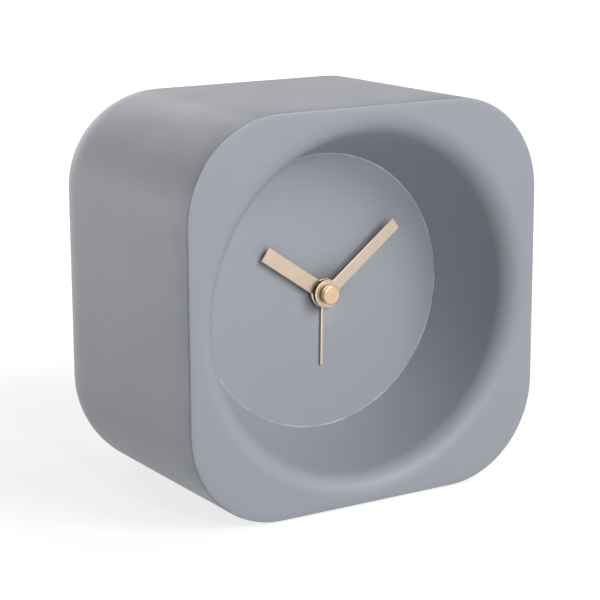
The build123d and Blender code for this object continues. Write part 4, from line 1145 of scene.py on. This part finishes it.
class CLOCK_OT_knobs(bpy.types.Operator):
    """Fluted knobs that set the time and the alarm"""

    bl_idname = "clock.knobs"
    bl_label = "Knobs"

    # Radius and height as shares of the knob's own, and how much of the flutes shows there
    side = (
        (0.98, 0, 0), (1, 0.02, 0), (1, 0.165, 0), (0.985, 0.19, 0.2), (0.985, 0.22, 0.9),
        (0.985, 0.26, 1), (0.98, 0.5, 1), (0.975, 0.86, 1), (0.965, 0.915, 0.95),
        (0.94, 0.96, 0.8), (0.9, 0.988, 0.5), (0.85, 1, 0.15), (0.82, 1, 0), (0.72, 1, 0),
        (0.69, 0.985, 0), (0.64, 0.965, 0), (0.3, 0.955, 0), (0, 0.955, 0),
    )
    bore = 1.9 * MM
    bore_end = 0.7

    def execute(self, context):
        back = context.scene.clock_back
        low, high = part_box("time_set_knob")
        radius = (high.x - low.x) / 2
        height = high.y - low.y
        bore = self.bore / radius
        bored = ((0, self.bore_end, 0), (bore, self.bore_end, 0), (bore, 0, 0))
        tree = knob_tree(bored + self.side)
        satin = moulded(
            "control_satin", back.control, grain=3600, rough=0.42, relief=0.15, light=1.3
        )
        for name in ("time_set", "alarm_set"):
            low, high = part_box(f"{name}_knob")
            mesh = grown(f"{name}_grip", tree, {
                "Radius": radius,
                "Height": height,
                "Flutes": back.flutes,
                "Flute Depth": back.flute_depth,
                "Centre": ((low.x + high.x) / 2, low.y, (low.z + high.z) / 2),
                "Material": satin,
            })
            mesh.set_sharp_from_angle(angle=radians(50))
            add_piece(f"{name}_grip", mesh, satin, name, "control_black", f"{name}_knob")
        finish_nodes(satin, "alarm_switch_slider", "alarm_switch_body")
        return {"FINISHED"}


def rib_tree():
    """Geometry tree of grip ribs, each as long as the half disc that they lie in allows."""
    tree, given, out = shape_tree("Grip ribs", {
        "Count": INTEGER,
        "Disc": FLOAT,
        "Pitch": FLOAT,
        "Thickness": FLOAT,
        "Centre": VECTOR,
    })
    disc, thickness = given["Disc"], given["Thickness"]
    step = node(tree, "ShaderNodeCombineXYZ", {"Z": given["Pitch"]}).outputs[0]
    row = {"Count": given["Count"], "Start Location": step, "Offset": step}
    line = node(tree, "GeometryNodeMeshLine", row)
    position = node(tree, "GeometryNodeInputPosition").outputs[0]
    height = node(tree, "ShaderNodeSeparateXYZ", {"Vector": position}).outputs["Z"]
    squares = [calculated(tree, "MULTIPLY", value, value) for value in (disc, height)]
    reach = calculated(tree, "SQRT", calculated(tree, "SUBTRACT", *squares))
    span = calculated(tree, "MULTIPLY", calculated(tree, "SUBTRACT", reach, thickness), 2)
    scale = node(tree, "ShaderNodeCombineXYZ", {"X": span, "Y": thickness, "Z": thickness})
    bar = node(tree, "GeometryNodeMeshCylinder", {"Vertices": 12, "Radius": 0.5, "Depth": 1})
    ribs = node(tree, "GeometryNodeInstanceOnPoints", {
        "Points": line.outputs[0],
        "Instance": moved(tree, bar.outputs["Mesh"], (0, 0, 0), (0, pi / 2, 0)),
        "Scale": scale.outputs[0],
    })
    ended(tree, out, moved(tree, ribs.outputs[0], given["Centre"]), given["Material"])
    return tree


class CLOCK_OT_back(bpy.types.Operator):
    """Rear cover, battery door with its grip, and the marks on the cover"""

    bl_idname = "clock.back"
    bl_label = "Back"

    def execute(self, context):
        back = context.scene.clock_back
        plastic = moulded("back_plastic", back.plastic)
        finish_nodes(plastic, "rear_cover", "battery_door")
        door_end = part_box("battery_door")[1]
        grip, grip_margin, rib_inset = 4 * MM, 0.1 * MM, 0.62 * MM
        mesh = grown("door_ribs", rib_tree(), {
            "Count": 3,
            "Disc": grip,
            "Pitch": 0.95 * MM,
            "Thickness": 0.45 * MM,
            "Centre": (0, door_end.y - rib_inset, door_end.z - grip - grip_margin),
            "Material": plastic,
        })
        add_piece("door_ribs", mesh, plastic, "battery_door", "back_grey")
        ink = moulded("mark_grey", (0.5, 0.5, 0.51), grain=3000, rough=0.5, relief=0.1)
        beside, below = 4.2 * MM, 1.5 * MM
        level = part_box("alarm_switch_slider")[0].z - below
        for word, side in (("ON", 1), ("OFF", -1)):
            place = Vector((side * beside, door_end.y + back.mark / 2, level))
            mesh = self.word(word, place, back)
            add_piece(f"mark_{word.lower()}", mesh, ink, "case", "back_grey")
        for name in ("time_set", "alarm_set"):
            low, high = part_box(f"{name}_knob")
            centre = Vector(((low.x + high.x) / 2, door_end.y, (low.z + high.z) / 2))
            add_piece(f"{name}_arrow", self.arrow(centre, back.mark), ink, "case", "back_grey")
        return {"FINISHED"}

    def word(self, word, place, back):
        """Raised letters on the cover, upright as seen from behind."""
        size_to_height, weld = 1.35, 0.0001 * MM
        text = bpy.data.curves.new(word, "FONT")
        text.body = word
        text.size = back.letters * size_to_height
        text.align_x = "CENTER"
        text.align_y = "CENTER"
        text.extrude = back.mark / 2
        holder = placed(word, text)
        mesh = plain_mesh(holder)
        bpy.data.objects.remove(holder)
        letters = bmesh.new()
        letters.from_mesh(mesh)
        bmesh.ops.remove_doubles(letters, verts=letters.verts, dist=weld)
        letters.to_mesh(mesh)
        letters.free()
        upright = Matrix(((-1, 0, 0), (0, 0, 1), (0, 1, 0))).to_4x4()
        mesh.transform(Matrix.Translation(place) @ upright)
        return mesh

    def arrow(self, centre, height):
        """Flat arc under a knob with an arrow head at each end."""
        inner, outer, head_half = 7.35 * MM, 7.75 * MM, 0.75 * MM
        start, end, steps = radians(205), radians(335), 32
        head_length, head_middle = radians(12), radians(4)
        middle = (inner + outer) / 2

        def at(radius, turn, y):
            return centre + Vector((radius * cos(turn), y, radius * sin(turn)))

        section = ((inner, 0), (inner, height), (outer, height), (outer, 0))
        arc = [start + (end - start) * step / steps for step in range(steps + 1)]
        strips = [[at(radius, turn, y) for radius, y in section] for turn in arc]
        shells = Shells()
        shells.capped(strips, *(at(middle, turn, height / 2) for turn in (start, end)))
        for turn, way in ((start, -1), (end, 1)):
            tip = turn + way * head_length
            corners = [(middle - head_half, turn), (middle + head_half, turn), (middle, tip)]
            levels = (0, height) if way > 0 else (height, 0)
            rings = [[at(radius, place, y) for radius, place in corners] for y in levels]
            shells.capped(rings, *(at(middle, turn + way * head_middle, y) for y in levels))
        return shells.mesh("arrow", sharp=30)


def spring_tree():
    """Geometry tree of a conical wire spring that reaches along +X."""
    tree, given, out = shape_tree("Cone spring", {
        "Turns": FLOAT,
        "Base": FLOAT,
        "Tip": FLOAT,
        "Reach": FLOAT,
        "Wire": FLOAT,
        "Centre": VECTOR,
    })
    coil = node(tree, "GeometryNodeCurveSpiral", {
        "Resolution": 48,
        "Rotations": given["Turns"],
        "Start Radius": given["Base"],
        "End Radius": given["Tip"],
        "Height": given["Reach"],
    }).outputs[0]
    section = {"Resolution": 10, "Radius": given["Wire"]}
    wire = node(tree, "GeometryNodeCurvePrimitiveCircle", section).outputs["Curve"]
    sweep = {"Curve": coil, "Profile Curve": wire, "Fill Caps": True}
    swept = node(tree, "GeometryNodeCurveToMesh", sweep).outputs[0]
    smooth = node(tree, "GeometryNodeSetShadeSmooth", {"Geometry": swept}).outputs[0]
    ended(tree, out, moved(tree, smooth, given["Centre"], (0, pi / 2, 0)), given["Material"])
    return tree


def add_box(shells, low, high):
    """Adds a closed box between two corners."""
    corners = ((low.x, low.z), (low.x, high.z), (high.x, high.z), (high.x, low.z))
    middle = (low + high) / 2
    levels = (high.y, low.y)
    rings = [[Vector((x, y, z)) for x, z in corners] for y in levels]
    shells.capped(rings, *(Vector((middle.x, y, middle.z)) for y in levels))


class CLOCK_OT_power(bpy.types.Operator):
    """Cell, its contacts and the cone spring behind the battery door"""

    bl_idname = "clock.power"
    bl_label = "Battery"

    sheet = 0.4 * MM

    def execute(self, context):
        back = context.scene.clock_back
        nickel = brushed_metal(
            "contact_nickel", (0.62, 0.6, 0.56), rough=0.28, relief=0.12, across=5000, along=900
        )
        finish_nodes(nickel, "battery_plate_contact", "alarm_contact_leaf")
        cell_low, cell_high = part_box("battery_cell")
        middle = (cell_low + cell_high) / 2
        self.cell(cell_low, cell_high, middle)
        low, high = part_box("battery_spring_contact")
        plate = self.plate(low, high, middle)
        wire, base, tip = back.spring_wire, 4 * MM, 2.4 * MM
        coil = grown("battery_spring", spring_tree(), {
            "Turns": back.spring_turns,
            "Base": base - wire,
            "Tip": tip - wire,
            "Reach": high.x - low.x - self.sheet - 2 * wire,
            "Wire": wire,
            "Centre": (low.x + self.sheet + wire, middle.y, middle.z),
            "Material": nickel,
        })
        for name, mesh in (("spring_plate", plate), ("battery_spring", coil)):
            add_piece(name, mesh, nickel, "case", "contact_nickel", "battery_spring_contact")
        return {"FINISHED"}

    def plate(self, low, high, middle):
        """Square plate that carries the spring, with its tab."""
        half, tab, tab_inset = 5 * MM, 3 * MM, 0.9 * MM
        plate_top, tab_start, end = middle.z + half, low.y + tab_inset, low.x + self.sheet
        shells = Shells()
        for near, far in (
            ((low.x, middle.y - half, middle.z - half), (end, middle.y + half, plate_top)),
            ((low.x, tab_start, plate_top), (end, tab_start + tab, high.z)),
        ):
            add_box(shells, Vector(near), Vector(far))
        return shells.mesh("spring_plate", sharp=30)

    def cell(self, low, high, middle):
        """Sleeved cell with a crimped shoulder and its positive nub."""
        radius = (high.z - low.z) / 2
        nub, nub_height, nub_edge, nub_foot = 2.75 * MM, 1.3 * MM, 0.3 * MM, 0.5 * MM
        soft, bend, crimp = 0.6 * MM, 0.15 * MM, 0.2 * MM
        rim, dish, dish_depth = 1 * MM, 1.6 * MM, 0.25 * MM
        shoulder, shoulder_depth = 1.5 * MM, 0.4 * MM
        reach = high.x - nub_height
        profile = [
            (0, low.x + dish_depth),
            (radius - dish, low.x + dish_depth),
            (radius - rim, low.x),
            (radius - soft, low.x),
            (radius - bend, low.x + crimp),
            (radius, low.x + soft),
            (radius, reach - soft),
            (radius - bend, reach - crimp),
            (radius - soft, reach),
            (radius - rim, reach),
            (radius - shoulder, reach - shoulder_depth),
            (nub + nub_foot, reach - crimp),
            (nub, reach),
            (nub, high.x - nub_edge),
            (nub - nub_edge, high.x),
            (0, high.x),
        ]
        rings = turned(
            profile, even_turns(72), lambda y, z, x: Vector((x, middle.y + y, middle.z + z))
        )
        mesh = skinned("sleeved_cell", rings, sharp=40, closed=False)
        sleeve, band, band_start = (0.22, 0.23, 0.24), (0.5, 0.51, 0.53), 9 * MM
        wrap = cell_wrap("cell_foil", sleeve, band, middle.x + band_start)
        add_piece("sleeved_cell", mesh, wrap, "case", "cell_foil", "battery_cell")


class CLOCK_OT_movement(bpy.types.Operator):
    """Finishes of the quartz movement and the boards inside the case"""

    bl_idname = "clock.movement"
    bl_label = "Movement"

    def execute(self, context):
        black = moulded(
            "movement_black", (0.03, 0.03, 0.033), grain=2200, rough=0.45, relief=0.2, light=1.3
        )
        finish_nodes(black, "movement_front_plate", "movement_bridge", "movement_rear_case")
        nylon = moulded(
            "wheel_nylon", (0.72, 0.71, 0.67), grain=3000, rough=0.4, relief=0.06, light=1.05
        )
        finish_nodes(
            nylon, "alarm_wheel", "hour_wheel", "motion_wheel", "centre_wheel", "third_wheel",
            "seconds_wheel", "intermediate_wheel", "time_set_stem", "alarm_set_stem", "coil_bobbin",
        )
        brass = brushed_metal(
            "arbor_brass", (0.72, 0.52, 0.24), rough=0.25, relief=0.15, across=6000, along=400
        )
        finish_nodes(brass, "minute_arbor")
        ferrite = moulded("rotor_ferrite", (0.1, 0.1, 0.11), grain=3800, rough=0.55, relief=0.35)
        finish_nodes(ferrite, "rotor")
        iron = brushed_metal(
            "motor_iron", (0.42, 0.42, 0.43), rough=0.38, relief=0.2, across=5000, along=700
        )
        finish_nodes(iron, "stator_plate", "coil_core")
        finish_nodes(wound_copper("winding_copper", (0.68, 0.3, 0.14)), "coil_winding")
        board = circuit_board("board_green", (0.03, 0.16, 0.06))
        finish_nodes(board, "movement_board", "control_board")
        chip = moulded(
            "chip_black", (0.02, 0.02, 0.022), grain=4200, rough=0.35, relief=0.15, light=1.4
        )
        finish_nodes(chip, "driver_chip", "buzzer")
        can = brushed_metal(
            "crystal_can", (0.7, 0.7, 0.7), rough=0.22, relief=0.1, across=3000, along=3000
        )
        finish_nodes(can, "quartz_crystal")
        sleeve = moulded("wire_sleeve", (0.5, 0.04, 0.03), grain=1500, rough=0.4, relief=0.05)
        finish_nodes(sleeve, "wire_harness")
        return {"FINISHED"}


class CLOCK_OT_stage(bpy.types.Operator):
    """Pale floor, white surroundings, soft studio light and the camera"""

    bl_idname = "clock.stage"
    bl_label = "Stage"

    # Name, place and size of each lamp, in metres
    lamps = (
        ("key", (1.31, -2.38, 1.76), 1.6),
        ("front", (0.21, -1.46, 0.28), 0.5),
        ("glint", (-0.15, -1.06, 0.56), 0.1),
        ("top", (0.75, 0.1, 1), 0.9),
        ("back", (0, 1.11, 0.51), 0.9),
        ("left", (-0.98, 0.75, 0.14), 0.26),
    )

    def execute(self, context):
        scene = context.scene
        stage = scene.clock_stage
        scene.view_settings.view_transform = "Standard"
        self.floor(stage)
        self.surroundings(scene, stage)
        for name, place, size in self.lamps:
            self.lamp(f"{name}_light", place, size, getattr(stage, name))
        self.camera(scene, stage)
        return {"FINISHED"}

    def floor(self, stage):
        """Pale floor that is white away from the clock and keeps its shadow."""
        half = 4
        shadow_grey = (0.4, 0.4, 0.4, 1)
        # Painted light: for the camera and in reflections the floor glows, more with distance from
        # the clock, which whitens the far floor.
        near_glow, far_glow, glow_start, glow_end = 0.76, 1, 0.1, 0.45
        corners = [(-half, -half, 0), (half, -half, 0), (half, half, 0), (-half, half, 0)]
        mesh = bpy.data.meshes.new("floor")
        mesh.from_pydata(corners, [], [(0, 1, 2, 3)])
        material = bpy.data.materials.new("floor_pale")
        material.use_nodes = True
        tree = material.node_tree
        tree.nodes.clear()
        matt = node(tree, "ShaderNodeBsdfDiffuse", {"Color": (*stage.floor, 1)})
        shadowed = node(tree, "ShaderNodeBsdfDiffuse", {"Color": shadow_grey})
        place = node(tree, "ShaderNodeTexCoord").outputs["Object"]
        away = node(tree, "ShaderNodeVectorMath", {0: place}, operation="LENGTH").outputs["Value"]
        strength = ranged(tree, away, near_glow, far_glow, glow_start, glow_end)
        glow = node(tree, "ShaderNodeEmission", {"Strength": strength})
        pale = node(tree, "ShaderNodeAddShader", {0: shadowed.outputs[0], 1: glow.outputs[0]})
        either = {0: self.seen(tree), 1: matt.outputs[0], 2: pale.outputs[0]}
        both = node(tree, "ShaderNodeMixShader", either)
        node(tree, "ShaderNodeOutputMaterial", {"Surface": both.outputs[0]})
        mesh.materials.append(material)
        floor = placed("floor", mesh)

    def seen(self, tree):
        """One for rays from the camera, and for those that metal or glass turn on."""
        path = node(tree, "ShaderNodeLightPath").outputs
        either = calculated(tree, "MAXIMUM", path["Is Camera Ray"], path["Is Glossy Ray"])
        return calculated(tree, "MAXIMUM", either, path["Is Transmission Ray"])

    def surroundings(self, scene, stage):
        """World that looks white but hardly lights the clock."""
        world = bpy.data.worlds.new("white_room")
        world.use_nodes = True
        tree = world.node_tree
        tree.nodes.clear()
        strength = calculated(tree, "MAXIMUM", self.seen(tree), stage.ambient)
        glow = node(tree, "ShaderNodeBackground", {"Color": (1, 1, 1, 1), "Strength": strength})
        node(tree, "ShaderNodeOutputWorld", {"Surface": glow.outputs[0]})
        scene.world = world

    def lamp(self, name, place, size, watts):
        """Square area light aimed at the middle of the clock."""
        light = bpy.data.lights.new(name, "AREA")
        light.energy = watts
        light.size = size
        lamp = placed(name, light)
        target = Vector((0, 0, AXIS_Z))
        lamp.location = Vector(place)
        lamp.rotation_mode = "QUATERNION"
        lamp.rotation_quaternion = (target - lamp.location).to_track_quat("-Z", "Y")

    def camera(self, scene, stage):
        """Camera at the angle from which the clock is shown."""
        turn, rise = stage.azimuth, stage.elevation
        back = Vector((sin(turn) * cos(rise), -cos(turn) * cos(rise), sin(rise)))
        level = Vector((cos(turn), sin(turn), 0))
        up = back.cross(level)
        right = level * cos(stage.roll) + up * sin(stage.roll)
        above = up * cos(stage.roll) - level * sin(stage.roll)
        place = spot(0, 0, 0) + right * stage.aside + above * stage.above + back * stage.distance
        lens = bpy.data.cameras.new("camera")
        lens.lens = stage.lens
        lens.clip_start = 10 * MM
        camera = placed("camera", lens)
        facing = Matrix((right, above, back)).transposed().to_4x4()
        camera.matrix_world = Matrix.Translation(place) @ facing
        scene.camera = camera


settings = {
    "clock_case": ClockCase,
    "clock_hands": ClockHands,
    "clock_back": ClockBack,
    "clock_stage": ClockStage,
}
operators = (
    CLOCK_OT_front,
    CLOCK_OT_body,
    CLOCK_OT_dial,
    CLOCK_OT_hands,
    CLOCK_OT_cap,
    CLOCK_OT_back,
    CLOCK_OT_screws,
    CLOCK_OT_knobs,
    CLOCK_OT_pads,
    CLOCK_OT_power,
    CLOCK_OT_movement,
    CLOCK_OT_stage,
)


class CLOCK_PT_panel(bpy.types.Panel):
    """Lists the pieces of the clock with their sizes and finishes"""

    bl_idname = "CLOCK_PT_panel"
    bl_label = "Table alarm clock"
    bl_space_type = "VIEW_3D"
    bl_region_type = "UI"
    bl_category = "Clock"

    def draw(self, context):
        layout = self.layout
        for operator in operators:
            layout.operator(operator.bl_idname)
        for name, kind in settings.items():
            box = layout.box()
            for key in kind.__annotations__:
                box.prop(getattr(context.scene, name), key)


classes = (*settings.values(), *operators, CLOCK_PT_panel)


def register():
    for kind in classes:
        bpy.utils.register_class(kind)
    for name, kind in settings.items():
        setattr(bpy.types.Scene, name, PointerProperty(type=kind))


def unregister():
    for name in settings:
        delattr(bpy.types.Scene, name)
    for kind in reversed(classes):
        bpy.utils.unregister_class(kind)


def main():
    register()
    for operator in operators:
        family, name = operator.bl_idname.split(".")
        getattr(getattr(bpy.ops, family), name)()


if __name__ == "__main__":
    main()
